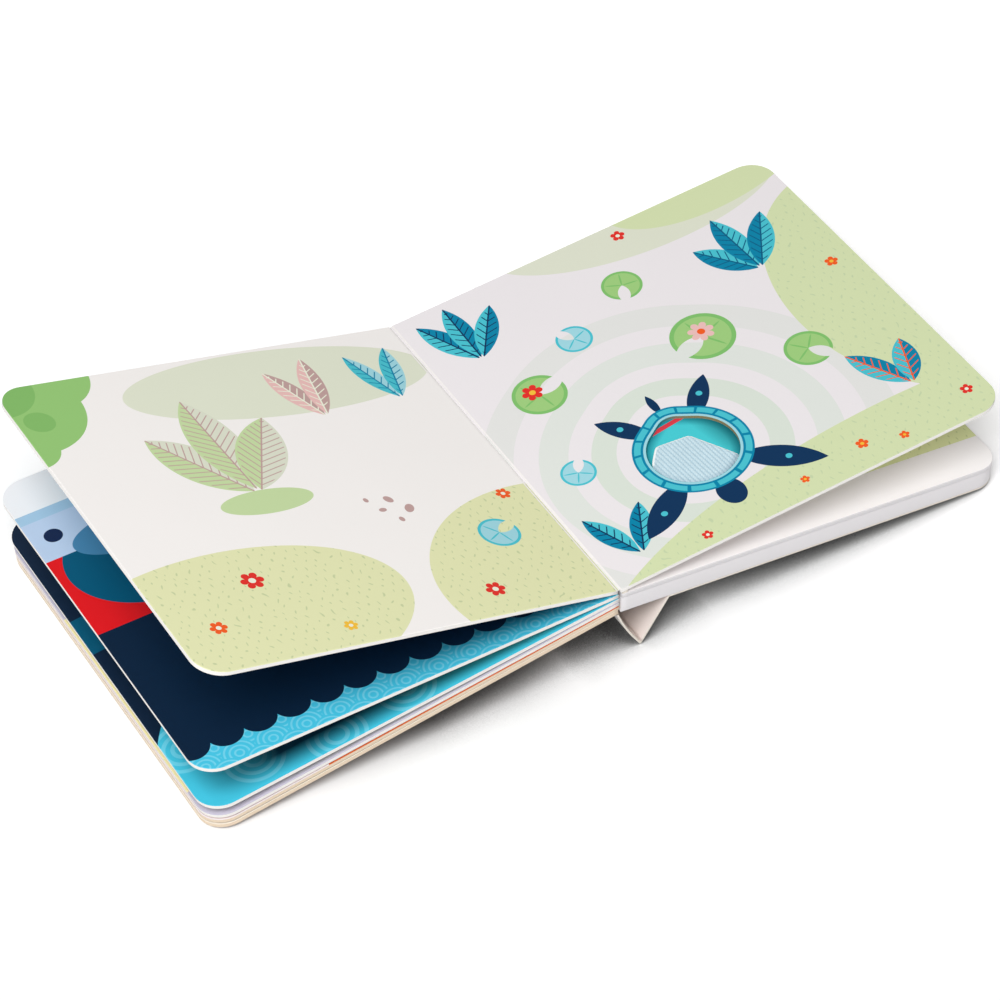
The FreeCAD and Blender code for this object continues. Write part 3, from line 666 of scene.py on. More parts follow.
@dataclass(frozen=True)
class Station:
    """Where a board stands: its start in millimetres, its rise in degrees and its side."""
    x: float
    z: float
    rise: float
    side: int = 1

    def world(self, local: np.ndarray) -> np.ndarray:
        """Turn points given along, across and above the board into metres.

        Args:
            local: Points (..., 3) as along from the spine, y, and height over the top face.

        Returns:
            The same points in the shared frame.
        """
        angle = math.radians(self.rise)
        along = np.array([self.side * math.cos(angle), 0, math.sin(angle)])
        up = np.array([-self.side * math.sin(angle), 0, math.cos(angle)])
        start = np.array([self.x, 0, self.z])
        place = start + local[..., :1] * along + local[..., 2:] * up
        place[..., 1] += local[..., 1]
        return place * MM


LEVEL = Station(0, 0, 0)


class Loft:
    """A closed skin through rings of points, with a fan at each end."""

    def __init__(self, rings: np.ndarray, bands: Sequence[int], smooth: Sequence[bool],
                 flat: Optional[np.ndarray] = None, tube: bool = False) -> None:
        """Keep the rings and how each band between them looks.

        Args:
            rings: (R, N, 3) points, each ring one closed line.
            bands: Finish number of the first fan, each gap between rings, and the last fan;
                with tube, of each gap only, the last one back to the first ring.
            smooth: Whether each of those bands is shaded smooth.
            flat: (R, N, 2) place of each point on the printed sheet; along and y if left out.
            tube: Join the last ring to the first instead of closing both ends.
        """
        self.rings = rings
        self.bands = list(bands)
        self.smooth = list(smooth)
        self.flat = rings[..., :2] if flat is None else flat
        self.tube = tube

    def _corners(self) -> tuple[np.ndarray, np.ndarray]:
        """Quads as (Q, 4) rows of ring and point numbers, and the band of each quad.

        Returns:
            (Q, 4, 2) rows, and (Q,) bands.
        """
        count, points = self.rings.shape[:2]
        gaps = count if self.tube else count - 1
        ring, spot = np.meshgrid(np.arange(gaps), np.arange(points), indexing="ij")
        quads = np.stack([np.stack([ring, spot], -1), np.stack([ring + 1, spot], -1),
                          np.stack([ring + 1, spot + 1], -1), np.stack([ring, spot + 1], -1)], 2)
        return quads.reshape(-1, 4, 2), ring.reshape(-1)

    def build(self, name: str, station: Station, finishes: Sequence[bpy.types.Material]
              ) -> bpy.types.Object:
        """Make the object.

        Args:
            name: The piece's name.
            station: Where it stands.
            finishes: Materials that the bands' numbers pick from.

        Returns:
            The piece, at the origin, with its place in its mesh and its faces outwards.
        """
        count, points = self.rings.shape[:2]
        quads, band = self._corners()
        shift = 0 if self.tube else 1
        faces = (quads[..., 0] % count) * points + quads[..., 1] % points
        around = np.concatenate(
            [np.zeros((count, 1)),
             np.cumsum(np.linalg.norm(np.roll(self.rings, -1, 1) - self.rings, axis=2), 1)], 1)
        down = np.concatenate(
            [[0], np.cumsum(np.linalg.norm(np.diff(self.rings, axis=0), axis=2).mean(1)), [0]])
        middle = around[np.argmax(around[:, -1])]
        flat_uv = self.flat.reshape(-1, 2)[faces]
        edge_uv = np.stack([middle[quads[..., 1]], down[quads[..., 0]]], -1)
        vertices = self.rings.reshape(-1, 3)
        rows = [list(row) for row in faces.tolist()]
        flats, edges = [flat_uv.reshape(-1, 2)], [edge_uv.reshape(-1, 2)]
        numbers = [np.array(self.bands)[band + shift]]
        shades = [np.array(self.smooth)[band + shift]]
        if not self.tube:
            step = np.arange(points)
            for end, ring in enumerate((0, count - 1)):
                first, second = (step, (step + 1) % points) if end == 0 else (
                    (step + 1) % points, step)
                pole = len(vertices)
                centre = self.rings[ring].mean(0, keepdims=True)
                vertices = np.concatenate([vertices, centre])
                fan = np.stack([np.full(points, pole), ring * points + first,
                                ring * points + second], 1)
                rows += fan.tolist()
                spots = np.stack([np.broadcast_to(self.flat[ring].mean(0), (points, 2)),
                                  self.flat[ring][first], self.flat[ring][second]], 1)
                flats.append(spots.reshape(-1, 2))
                edges.append(spots.reshape(-1, 2))
                pick = 0 if end == 0 else -1
                numbers.append(np.full(points, self.bands[pick]))
                shades.append(np.full(points, self.smooth[pick]))
        place = station.world(vertices)
        return self._mesh(name, place, rows, np.concatenate(flats), np.concatenate(edges),
                          np.concatenate(numbers), np.concatenate(shades), finishes)

    @staticmethod
    def _mesh(name: str, place: np.ndarray, rows: list, flats: np.ndarray, edges: np.ndarray,
              numbers: np.ndarray, shades: np.ndarray,
              finishes: Sequence[bpy.types.Material]) -> bpy.types.Object:
        """Put the arrays into a mesh, turned so that its volume is positive.

        Args:
            name: The piece's name.
            place: (V, 3) points in metres.
            rows: Each face's point numbers.
            flats: The print map, a row for each corner of each face.
            edges: The edge map, likewise.
            numbers: Each face's finish number.
            shades: Whether each face is shaded smooth.
            finishes: The materials that the numbers pick from.

        Returns:
            The piece.
        """
        sizes = np.array([len(row) for row in rows])
        tips = np.concatenate([[0], np.cumsum(sizes)[:-1]])
        loops = np.concatenate([np.array(row) for row in rows]) if len(set(sizes)) > 1 \
            else np.array(rows).reshape(-1)
        first = place[loops[tips]]
        volume = 0.0
        for turn in (1, 2):
            chosen = sizes > turn + 1
            one = place[loops[tips[chosen] + turn]]
            two = place[loops[tips[chosen] + turn + 1]]
            volume += float((first[chosen] * np.cross(one, two)).sum())
        if volume < 0:
            order = np.concatenate([tip + np.arange(size)[::-1]
                                    for tip, size in zip(tips, sizes)])
            rows = [row[::-1] for row in rows]
            flats, edges = flats[order], edges[order]
        mesh = bpy.data.meshes.new(name)
        mesh.from_pydata(place.tolist(), [], rows)
        for label, values in ((PRINT_UV, flats), (EDGE_UV, edges)):
            layer = mesh.uv_layers.new(name=label)
            layer.data.foreach_set("uv", values.astype(np.float32).reshape(-1))
        mesh.polygons.foreach_set("material_index", numbers.astype(np.int32))
        mesh.polygons.foreach_set("use_smooth", shades.astype(bool))
        for finish in finishes:
            mesh.materials.append(finish)
        mesh.validate()
        mesh.update()
        piece = bpy.data.objects.new(name, mesh)
        bpy.context.scene.collection.objects.link(piece)
        return piece


def page_ring(start: float, end: float, half: float, radius: float, inset: float = 0.0,
              step: float = 3.0) -> np.ndarray:
    """A page's outline, from the spine's near corner round to its far one and back.

    Four straight sides cut into steps, and quarter circles at the two outer corners. An inset
    moves every side in by the same distance, so all insets of one page have matching points.

    Args:
        start: Distance of the spine side from the gutter.
        end: Distance of the outer side.
        half: Half the page's depth along the spine.
        radius: The outer corners' radius.
        inset: How far the outline is moved in.
        step: Rough spacing of the points.

    Returns:
        (N, 2) points as along and y, anticlockwise.
    """
    straight = max(2, round((end - start - radius) / step))
    upright = max(2, round(2 * (half - radius) / step))
    spine = max(2, round(2 * half / step))
    share = np.linspace(0, 1, straight + 1)[:-1]
    turn = np.linspace(0, math.pi / 2, 13)[:-1]
    cx, cy, r = end - radius, half - radius, radius - inset
    near = np.stack([(start + inset) + (cx - start - inset) * share,
                     np.full(straight, inset - half)], 1)
    low = np.stack([cx + r * np.sin(turn), -cy - r * np.cos(turn)], 1)
    side = np.stack([np.full(upright, end - inset),
                     np.linspace(-cy, cy, upright + 1)[:-1]], 1)
    high = np.stack([cx + r * np.cos(turn), cy + r * np.sin(turn)], 1)
    far = np.stack([cx + (start + inset - cx) * share, np.full(straight, half - inset)], 1)
    back = np.stack([np.full(spine, start + inset),
                     np.linspace(half - inset, inset - half, spine + 1)[:-1]], 1)
    return np.concatenate([near, low, side, high, far, back])


def rings_at(outline: np.ndarray, height: float) -> np.ndarray:
    """A flat outline lifted to a height."""
    return np.concatenate([outline, np.full((len(outline), 1), height)], 1)


def reach_of(centre: tuple[float, float], line: np.ndarray, angle: np.ndarray) -> np.ndarray:
    """Distance from a centre to a closed (M, 2) line round it, at each angle.

    Args:
        centre: The point that the line goes round.
        line: The closed line.
        angle: The angles in radians.

    Returns:
        One distance for each angle.
    """
    spokes = line - np.array(centre)
    known = np.arctan2(spokes[:, 1], spokes[:, 0])
    order = np.argsort(known)
    return np.interp(angle, known[order], np.linalg.norm(spokes, axis=1)[order],
                     period=2 * math.pi)


def seen_from(centre: tuple[float, float], outline: np.ndarray, other: np.ndarray) -> np.ndarray:
    """Points of one closed line at the directions of another line's points.

    Both lines go once round the centre.

    Args:
        centre: The point that both lines go round.
        outline: (N, 2) line that gives the directions.
        other: (M, 2) line that gives the distances.

    Returns:
        (N, 2) points on the other line.
    """
    rays = outline - np.array(centre)
    angle = np.arctan2(rays[:, 1], rays[:, 0])
    reach = reach_of(centre, other, angle)
    return np.array(centre) + reach[:, None] * np.stack([np.cos(angle), np.sin(angle)], 1)


@dataclass(frozen=True)
class Egg:
    """The touch window's outline: a base circle and a smaller crown circle above it."""
    x: float = 70.5
    y: float = -46.3
    base: float = 20.4
    rise: float = 14.2
    crown: float = 8.6

    def ring(self, grow: float = 0.0, count: int = 720) -> np.ndarray:
        """Two arcs joined by their outer tangents, every point moved out by grow.

        Args:
            grow: How far the outline is moved out.
            count: How many points the two arcs have before each gap is cut up.

        Returns:
            (N, 2) points, anticlockwise.
        """
        lean = math.asin((self.base - self.crown) / self.rise)
        low = np.linspace(math.pi - lean, 2 * math.pi + lean, count // 2)
        high = np.linspace(lean, math.pi - lean, count // 2)
        arcs = []
        for angle, radius, lift in ((low, self.base, 0.0), (high, self.crown, self.rise)):
            arcs.append(np.stack([self.x + (radius + grow) * np.cos(angle),
                                  self.y + lift + (radius + grow) * np.sin(angle)], 1))
        joined = np.concatenate(arcs)
        dense = []
        for share in np.linspace(0, 1, 8, endpoint=False):
            dense.append(joined + share * (np.roll(joined, -1, 0) - joined))
        return np.stack(dense, 1).reshape(-1, 2)

    def band(self, near: Optional[float], far: float, soft: float = SOFT) -> EggBand:
        """The printed band from near to far outside the outline; None is its middle."""
        return EggBand(self.x, self.y, self.base, self.rise, self.crown, near, far, soft)


WINDOW = Egg()


# ---------------------------------------------------------------- palette

class Tone(Enum):
    """The inks of the pages."""
    RIGHT_GROUND = ink(233, 228, 230)
    LEFT_GROUND = ink(246, 242, 239)
    MEADOW = ink(209, 220, 174)
    MEADOW_WARM = ink(226, 228, 180)
    HILL = ink(219, 222, 203)
    BLADE = ink(194, 209, 167)
    RIPPLE = ink(215, 223, 212)
    PALE_TEAL = ink(158, 212, 222)
    TEAL = ink(72, 190, 204)
    SEA = ink(0, 128, 164)
    DEEP_SEA = ink(2, 88, 124)
    NAVY = ink(3, 46, 84)
    GREEN = ink(126, 188, 106)
    PAD = ink(156, 201, 124)
    PALE_GREEN = ink(196, 217, 163)
    MAUVE = ink(190, 158, 154)
    ROSE = ink(232, 188, 184)
    RED = ink(222, 48, 40)
    ORANGE = ink(238, 92, 34)
    YELLOW = ink(240, 188, 60)
    CREAM = ink(236, 238, 218)


def blossom(x: float, y: float, r: float, petal: Tone, heart: Tone, count: int = 5,
            turn: float = 0.0) -> list[Layer]:
    """A flower and its round heart."""
    return [Layer(Blossom(x, y, r, count, turn), petal),
            Layer(Disc(x, y, 0.3 * r), heart)]


def lily_pad(x: float, y: float, r: float, turn: float, pad: Tone = Tone.PAD,
             rim: Tone = Tone.GREEN) -> list[Layer]:
    """A floating leaf: a disc with a notch, a darker rim and three thin ribs.

    Args:
        x: The middle's x.
        y: The middle's y.
        r: The radius.
        turn: Where the notch points, in degrees.
        pad: The leaf's ink.
        rim: The ink of its rim and ribs.

    Returns:
        Its layers, from the bottom up.
    """
    angle = math.radians(turn)
    tip = (x + 1.25 * r * math.cos(angle), y + 1.25 * r * math.sin(angle))
    notch = Lens(x, y, *tip, 0.3 * r)
    layers = [Layer(Without(Disc(x, y, r), notch), rim),
              Layer(Without(Disc(x, y, 0.86 * r), notch), pad)]
    for spread in (100, 180, 260):
        way = math.radians(turn + spread)
        layers.append(Layer(stroke(x, y, x + 0.8 * r * math.cos(way), y + 0.8 * r * math.sin(way),
                                   0.03 * r + 0.12), rim))
    return layers


# The pale line where the printed sheet is creased along the gutter.
CREASE = Layer(Within(Side(1.35, 0, 180), Side(0.62, 0, 0)), ink(243, 239, 236))
# The meadow's small blades of grass.
GRASS = Ticks(5.6, 4.2, 0.36, 0.85)


# ---------------------------------------------------------------- finishes

@dataclass(frozen=True)
class Printed:
    """Matt laminated paper: inks on a ground, faint paper grain and uneven sheen."""
    name: str
    ground: Union[Ink, Enum]
    layers: tuple = ()
    roughness: float = 0.5
    grain: float = 0.012

    def make(self) -> bpy.types.Material:
        """Print the layers in order on the ground, then add the grain.

        Returns:
            The material.
        """
        g = Paint(self.name, Specular_IOR_Level=0.09)
        p = g.uv(PRINT_UV)
        colour: Any = self.ground
        for layer in self.layers:
            colour = layer.lay(g, p, colour)
        fine = g.noise(p, 1.9, 3.0, 0.6)
        broad = g.noise(p, 0.021, 1.0)
        colour = g.tint(g.tint(colour, fine, self.grain), broad, 0.01)
        return g.finish(colour, broad, 0.12, self.roughness - 0.06, g.noise(p, 0.8, 3.0, 0.65),
                        0.000012)


@dataclass(frozen=True)
class BoardEdge:
    """Die-cut board seen on edge: long fibres, faint plies and a darker cut."""
    name: str
    light: Ink
    dark: Ink
    pull: float = 0.08

    def make(self) -> bpy.types.Material:
        """Noise drawn out along the edge, from the piece's edge map.

        Returns:
            The material.
        """
        g = Paint(self.name, Specular_IOR_Level=0.25)
        p = g.uv(EDGE_UV)
        along, down, _ = g.parts(p)
        fibre = g.noise(g.point(along * self.pull, down * 2.4), 1.6, 4.0, 0.7)
        speck = g.noise(p, 2.6, 2.0, 0.6)
        colour = g.mix(g.math("MULTIPLY_ADD", fibre, 2.4, -0.75, clamp=True), self.dark,
                       self.light)
        colour = g.tint(colour, speck, 0.05)
        relief = g.math("MULTIPLY_ADD", fibre, 0.7, speck * 0.3)
        return g.finish(colour, speck, 0.15, 0.7, relief, 0.00005)


@dataclass(frozen=True)
class PlainPaper:
    """Uncoated or plain wrapping paper with soft mottle and fine fibres."""
    name: str
    colour: Ink
    roughness: float = 0.6
    mottle: float = 0.02

    def make(self) -> bpy.types.Material:
        """Mottle and fibres from the place on the object.

        Returns:
            The material.
        """
        g = Paint(self.name, Specular_IOR_Level=0.35)
        p = g.spot()
        cloud = g.noise(p, 0.05, 3.0)
        fibre = g.noise(p, 2.2, 3.0, 0.65)
        colour = g.tint(g.tint(self.colour, cloud, self.mottle), fibre, 0.012)
        return g.finish(colour, cloud, 0.12, self.roughness - 0.06, fibre, 0.00002)


@dataclass(frozen=True)
class Knit:
    """Fine ribbed knit: the ribs are in the mesh; the stitches, the fuzz and painted shade are
    here.
    """
    name: str
    light: Ink
    dark: Ink
    pitch: float
    lean: float

    def make(self) -> bpy.types.Material:
        """Slanting stitches along each rib, mirrored about the rib's middle, with painted shade
        in the grooves and towards the rim.

        Returns:
            The material.
        """
        g = Paint(self.name, Specular_IOR_Level=0.2, Sheen_Weight=0.35, Sheen_Roughness=0.4)
        p = g.uv(PRINT_UV)
        q = g.place(p, 0, 0, math.radians(self.lean))
        across, along, _ = g.parts(q)
        rib = abs((across / self.pitch + 200.0).fraction() - 0.5) * 2.0
        stitch = (along / 1.25 + rib * 0.8 + 200.0).fraction()
        loop = g.math("SINE", stitch * math.pi)
        fuzz = g.noise(p, 5.0, 4.0, 0.7)
        even = g.math("MULTIPLY_ADD", g.noise(p, 0.7, 3.0, 0.6), 1.2, 0.2, clamp=True)
        height = g.math("MULTIPLY_ADD", (1 - rib * rib) * 0.7, even, loop * 0.34)
        # Painted shade: the colour runs from the dark ink in the grooves to the light ink on the
        # ribs' tops.
        colour = g.mix(g.math("MULTIPLY_ADD", height, 1.1, 0.04, clamp=True), self.dark,
                       self.light)
        cloud = g.noise(p, 0.12, 2.0)
        colour = g.tint(g.tint(colour, fuzz, 0.13), cloud, 0.05)
        # Painted shade: darker towards the patch's rim, and darker still towards its right end,
        # as if the window's wall shaded it.
        rim = WINDOW.band(-0.8, 9, 4.6).mask(g, p)
        shaded = g.both(rim, Side(80, -50, -12, 16.0).mask(g, p))
        colour = g.mix(rim * 0.5, colour, ink(104, 142, 166))
        colour = g.mix(shaded * 0.6, colour, ink(72, 100, 122))
        relief = g.math("MULTIPLY_ADD", height, 0.8, fuzz * 0.35)
        return g.finish(colour, fuzz, 0.1, 0.8, relief, 0.00011)


@dataclass(frozen=True)
class Moulded:
    """Moulded plastic, rubber or resin with a fine spark-eroded grain."""
    name: str
    colour: Ink
    roughness: float = 0.45
    grain: float = 1.4

    def make(self) -> bpy.types.Material:
        """Grain and faint flow marks from the place on the object.

        Returns:
            The material.
        """
        g = Paint(self.name)
        p = g.spot()
        grit = g.noise(p, self.grain, 2.0, 0.6)
        flow = g.noise(p, 0.06, 2.0)
        colour = g.tint(g.tint(self.colour, flow, 0.02), grit, 0.015)
        return g.finish(colour, flow, 0.1, self.roughness - 0.05, grit, 0.00002)


@dataclass(frozen=True)
class Metal:
    """Plated or rolled metal with drawn-out polishing marks."""
    name: str
    colour: Ink
    roughness: float = 0.3
    drawn: tuple = (0.2, 3.0, 3.0)

    def make(self) -> bpy.types.Material:
        """Marks drawn out along one way, and a little tarnish.

        Returns:
            The material.
        """
        g = Paint(self.name, Metallic=1.0)
        p = g.spot()
        marks = g.noise(g.vector("MULTIPLY", p, self.drawn), 1.5, 3.0, 0.6)
        tarnish = g.noise(p, 0.25, 3.0)
        colour = g.tint(g.tint(self.colour, marks, 0.05), tarnish, 0.06)
        return g.finish(colour, marks, 0.14, self.roughness - 0.07, marks, 0.00001)


@dataclass(frozen=True)
class Laminate:
    """A circuit board: green lacquer over copper tracks."""
    name: str
    lacquer: Ink
    track: Ink

    def make(self) -> bpy.types.Material:
        """Straight tracks in bands, broken up by a coarse cell pattern.

        Returns:
            The material.
        """
        g = Paint(self.name, Coat_Roughness=0.2)
        p = g.spot()
        across, along, _ = g.parts(p)
        lines = g.fill(0.22 - abs((along / 1.9 + 100.0).fraction() - 0.5) * 1.9, 0.1)
        cross = g.fill(0.2 - abs((across / 3.1 + 100.0).fraction() - 0.5) * 3.1, 0.1)
        cell = g.noise(p, 0.16, 0.0)
        pick = g.math("GREATER_THAN", cell, 0.5)
        tracks = g.math("MULTIPLY_ADD", pick, lines, (1 - pick) * cross)
        colour = g.mix(tracks * 0.75, self.lacquer, self.track)
        fine = g.noise(p, 2.0, 2.0)
        return g.finish(g.tint(colour, fine, 0.04), fine, 0.1, 0.3, tracks, 0.00003)


# ---------------------------------------------------------------- the printed pages

def fronds(base: tuple, tips: Sequence[tuple], half: float, light: Tone, dark: Tone, vein: Tone
           ) -> list[Any]:
    """A clump of broad leaves that start near one place."""
    return [Frond(base[0] + 0.06 * (x - base[0]), base[1] + 0.06 * (y - base[1]), x, y, half,
                  light, dark, vein) for x, y in tips]


def pond_layers() -> tuple:
    """The right page: a pond bank with a swimming turtle seen from above as the window.

    Returns:
        The layers, from the bottom up.
    """
    front_meadow = Either((Oval(128, -122, 150, 52, 4), Oval(214, -6, 62, 84, 0)))
    back_hill = Oval(132, 108, 76, 34, -4)
    layers: list[Any] = [
        Layer(back_hill, Tone.HILL),
        Layer(Oval(176, 112, 60, 30, 8), Tone.MEADOW),
        Layer(WINDOW.band(58, 72), ink(224, 224, 221)),
        Layer(WINDOW.band(34, 47), ink(221, 225, 219)),
        Layer(WINDOW.band(13, 24), Tone.RIPPLE),
        Layer(front_meadow, Tone.MEADOW),
        Layer(Within(GRASS, front_meadow), Tone.BLADE),
    ]
    layers += lily_pad(33, 22, 12.5, 20) + lily_pad(112, 12, 15, 200)
    layers += lily_pad(64, 44, 8.5, 120, Tone.PALE_TEAL, Tone.TEAL)
    layers += lily_pad(146, -22, 11, 310) + lily_pad(22, -30, 8.0, 60, Tone.PALE_TEAL, Tone.TEAL)
    layers += lily_pad(100, 62, 9.5, 250)
    layers += blossom(113, 15, 6.2, Tone.ROSE, Tone.ORANGE, 7)
    layers += blossom(31, 25, 5.0, Tone.RED, Tone.YELLOW, 6)
    layers += fronds((24, 56), [(9, 92), (25, 96), (44, 86)], 5.6, Tone.SEA, Tone.TEAL,
                     Tone.NAVY)
    layers += fronds((158, 34), [(138, 62), (156, 76), (178, 68)], 6.4, Tone.TEAL, Tone.SEA,
                     Tone.DEEP_SEA)
    layers += fronds((172, -68), [(156, -36), (182, -40)], 6.0, Tone.SEA, Tone.TEAL,
                     Tone.ORANGE)
    layers += fronds((20, -88), [(8, -56), (34, -60)], 5.0, Tone.TEAL, Tone.SEA, Tone.NAVY)
    for x0, y0, x1, y1, half in ((58, -60, 26, -82, 6.6), (83, -60, 116, -84, 6.6),
                                 (61, -31, 43, -8, 4.8), (80, -31, 99, -9, 4.8)):
        layers.append(Layer(Lens(x0, y0, x1, y1, half), Tone.NAVY))
        mx, my = x0 * 0.42 + x1 * 0.58, y0 * 0.42 + y1 * 0.58
        layers.append(Layer(Disc(mx, my, 1.5), Tone.TEAL))
    layers += [Layer(Lens(70.5, -20, 70.5, -6, 2.0), Tone.NAVY),
               Layer(Oval(70.5, -77.5, 6.4, 8.2), Tone.NAVY),
               Layer(WINDOW.band(None, 6.4), Tone.SEA),
               Layer(Scutes(), Tone.TEAL),
               Layer(WINDOW.band(None, 1.4), Tone.PALE_TEAL)]
    for x, y, r in ((132, -86, 3.0), (150, -92, 2.4), (100, -90, 2.2), (186, 20, 3.2)):
        layers += blossom(x, y, r, Tone.ORANGE, Tone.YELLOW)
    for x, y, r in ((116, 92, 3.4), (188, -84, 3.0), (48, -94, 2.6)):
        layers += blossom(x, y, r, Tone.RED, Tone.CREAM)
    return (*layers, CREASE)


@dataclass(frozen=True)
class Scutes:
    """The plates round the turtle's shell: a band cut by spokes."""
    count: float = 15.0

    def mask(self, g: Graph, p: Wire) -> Wire:
        """In the band, and away from whole numbers of the angle counted in plates.

        Args:
            g: The material's nodes.
            p: The place on the page in millimetres.

        Returns:
            1 in the area and 0 outside it.
        """
        band = WINDOW.band(2.5, 5.4).mask(g, p)
        q = g.place(p, WINDOW.x, WINDOW.y + 5.0)
        across, along, _ = g.parts(q)
        share = (g.math("ARCTAN2", along, across) * (self.count / math.tau) + 50.0).fraction()
        return g.both(band, g.fill(0.43 - abs(share - 0.5), 0.02))


def meadow_layers() -> tuple:
    """The left page: banks of meadow, broad pale plants and a bush at the outer corner.

    Returns:
        The layers, from the bottom up.
    """
    front = Oval(170, -76, 84, 46, -8)
    near = Oval(4, -84, 72, 62, 0)
    back = Oval(72, 74, 74, 24, 3)
    layers: list[Any] = [
        Layer(back, ink(224, 228, 207)),
        Layer(front, Tone.MEADOW_WARM),
        Layer(near, Tone.MEADOW_WARM),
        Layer(Within(GRASS, Either((front, near))), ink(199, 208, 160)),
        Layer(Either((Disc(196, 84, 32), Disc(176, 104, 24), Disc(202, 58, 15))),
              ink(148, 197, 117)),
        Layer(Either((Disc(200, 100, 20), Disc(188, 74, 7))), ink(130, 184, 103)),
    ]
    layers += fronds((118, 2), [(150, 50), (122, 72), (92, 52)], 11.5, Tone.PALE_GREEN, Tone.HILL,
                     Tone.MAUVE)
    layers += fronds((62, 44), [(76, 82), (54, 88)], 5.6, Tone.ROSE, Tone.MAUVE, Tone.CREAM)
    layers += fronds((22, 48), [(34, 84), (12, 86)], 5.2, Tone.TEAL, Tone.PALE_TEAL, Tone.SEA)
    layers.append(Layer(Oval(118, -3, 22, 8), Tone.PALE_GREEN))
    for x, y, r in ((66, -16, 1.8), (72, -22, 1.3), (60, -24, 2.1), (67, -30, 1.2),
                    (76, -14, 1.1)):
        layers.append(Layer(Oval(x, y, 1.4 * r, r, 20 * x), Tone.MAUVE))
    layers += lily_pad(30, -50, 9.5, 150, Tone.PALE_TEAL, Tone.TEAL)
    for x, y, r, petal in ((150, -50, 5.4, Tone.RED), (52, -84, 4.6, Tone.RED),
                           (178, -74, 4.0, Tone.ORANGE), (124, -88, 3.2, Tone.YELLOW),
                           (14, -26, 3.6, Tone.ORANGE)):
        layers += blossom(x, y, r, petal, Tone.CREAM, 6)
    return (*layers, CREASE)


@dataclass(frozen=True)
class Scallops:
    """Everything behind a line of round lobes that bulge to the front."""
    y: float
    wide: float
    radius: float

    def mask(self, g: Graph, p: Wire) -> Wire:
        """Behind the line, or inside the disc of the nearest lobe.

        Args:
            g: The material's nodes.
            p: The place on the page in millimetres.

        Returns:
            1 in the area and 0 outside it.
        """
        across, along, _ = g.parts(p)
        u = ((across / self.wide + 100.0).fraction() - 0.5) * self.wide
        away = g.vector("LENGTH", g.point(u, along - self.y), number=True)
        return g.math("MAXIMUM", g.fill(self.radius - away), g.fill(along - self.y))


def harbour_layers() -> tuple:
    """The second left leaf: pale sky, a blue bank, a red field, night water and a sea, with
    painted shade on the sea near the gutter.

    Returns:
        The layers, from the bottom up.
    """
    night = Scallops(-82.6, 15.5, 8.2)
    sea = Side(0, -60, 270)
    return (
        Layer(sea, ink(72, 194, 222)),
        Waves(15.5, sea, ink(116, 208, 230), 3.4, 0.5, -96.5),
        # Painted shade: the sea darkens behind its front strip and towards the gutter, as under
        # the leaf above.
        Layer(Within(Side(0, -95, 90, 14.0), Side(88, 0, 180, 110.0)), ink(2, 58, 82)),
        Layer(night, ink(10, 32, 56)),
        Layer(Side(0, -5, 90), ink(230, 24, 30)),
        Layer(Oval(152, 32, 42, 34, 0), ink(2, 84, 114)),
        Layer(Side(0, 46, 90), ink(190, 206, 230)),
        Layer(Oval(150, 46, 34, 14, 4), ink(74, 132, 170)),
        Layer(Side(0, 72, 90), ink(166, 198, 222)),
        Layer(Disc(188, 60, 4.2), ink(14, 34, 70)),
        Layer(Side(0, 78, 90), ink(244, 241, 242)),
    )


def wave_layers() -> tuple:
    """The third left leaf: night water with a teal field, and a sea with large rings, with
    painted shade on the sea behind its front edge.

    Returns:
        The layers, from the bottom up.
    """
    sea = Either((Side(0, -62, 270), Disc(130, -96, 80)))
    rings = []
    for x, y in ((168, -84), (134, -94), (190, -62), (98, -88)):
        for radius in (13.5, 9.5, 5.5):
            rings.append(Layer(Within(Without(Disc(x, y, radius), Disc(x, y, radius - 1.9)), sea),
                               ink(106, 206, 230)))
    return (Layer(sea, ink(66, 192, 220)), *rings,
            # Painted shade: the sea darkens behind its front edge, as under the leaf above, and
            # fades out towards the outer corner.
            Layer(Within(Within(Side(0, -94.0, 90, 11.0), Side(176, 0, 180, 36.0)), sea),
                  ink(2, 44, 64)),
            Layer(Within(Side(0, 8, 90), Side(0, 31, 270)), ink(2, 84, 114)))


def spotted(name: str, ground: Ink, disc: Disc, spot: Ink) -> Printed:
    """A print of which little shows: a ground with one large round field."""
    return Printed(name, ground, (Layer(disc, spot),))


POND_PAGE = Printed("pond_print", Tone.RIGHT_GROUND, pond_layers())
MEADOW_PAGE = Printed("meadow_print", Tone.LEFT_GROUND, meadow_layers())
HARBOUR_PAGE = Printed("harbour_print", ink(225, 221, 222), harbour_layers())
WAVE_PAGE = Printed("wave_print", ink(10, 32, 56), wave_layers())
BLUE_PAGE = spotted("blue_print", ink(196, 192, 210), Disc(216, -20, 62), ink(240, 230, 176))
SAND_PAGE = Printed("sand_print", ink(210, 98, 44), (Layer(Side(142, 0, 0),
                                                           ink(232, 224, 226)),))
COVER_INSIDE = spotted("cover_inside", ink(236, 226, 212), Disc(60, 40, 70), ink(224, 214, 196))
HARBOUR_BACK = spotted("harbour_back", ink(80, 184, 208), Disc(90, 40, 60), ink(44, 120, 160))
WAVE_BACK = spotted("wave_back", ink(222, 222, 214), Disc(60, -40, 66), ink(206, 218, 178))
SAND_BACK = spotted("sand_back", ink(232, 226, 214), Disc(90, -60, 80), ink(216, 222, 186))
BLUE_BACK = spotted("blue_back", ink(228, 150, 96), Disc(110, 40, 70), ink(236, 196, 150))
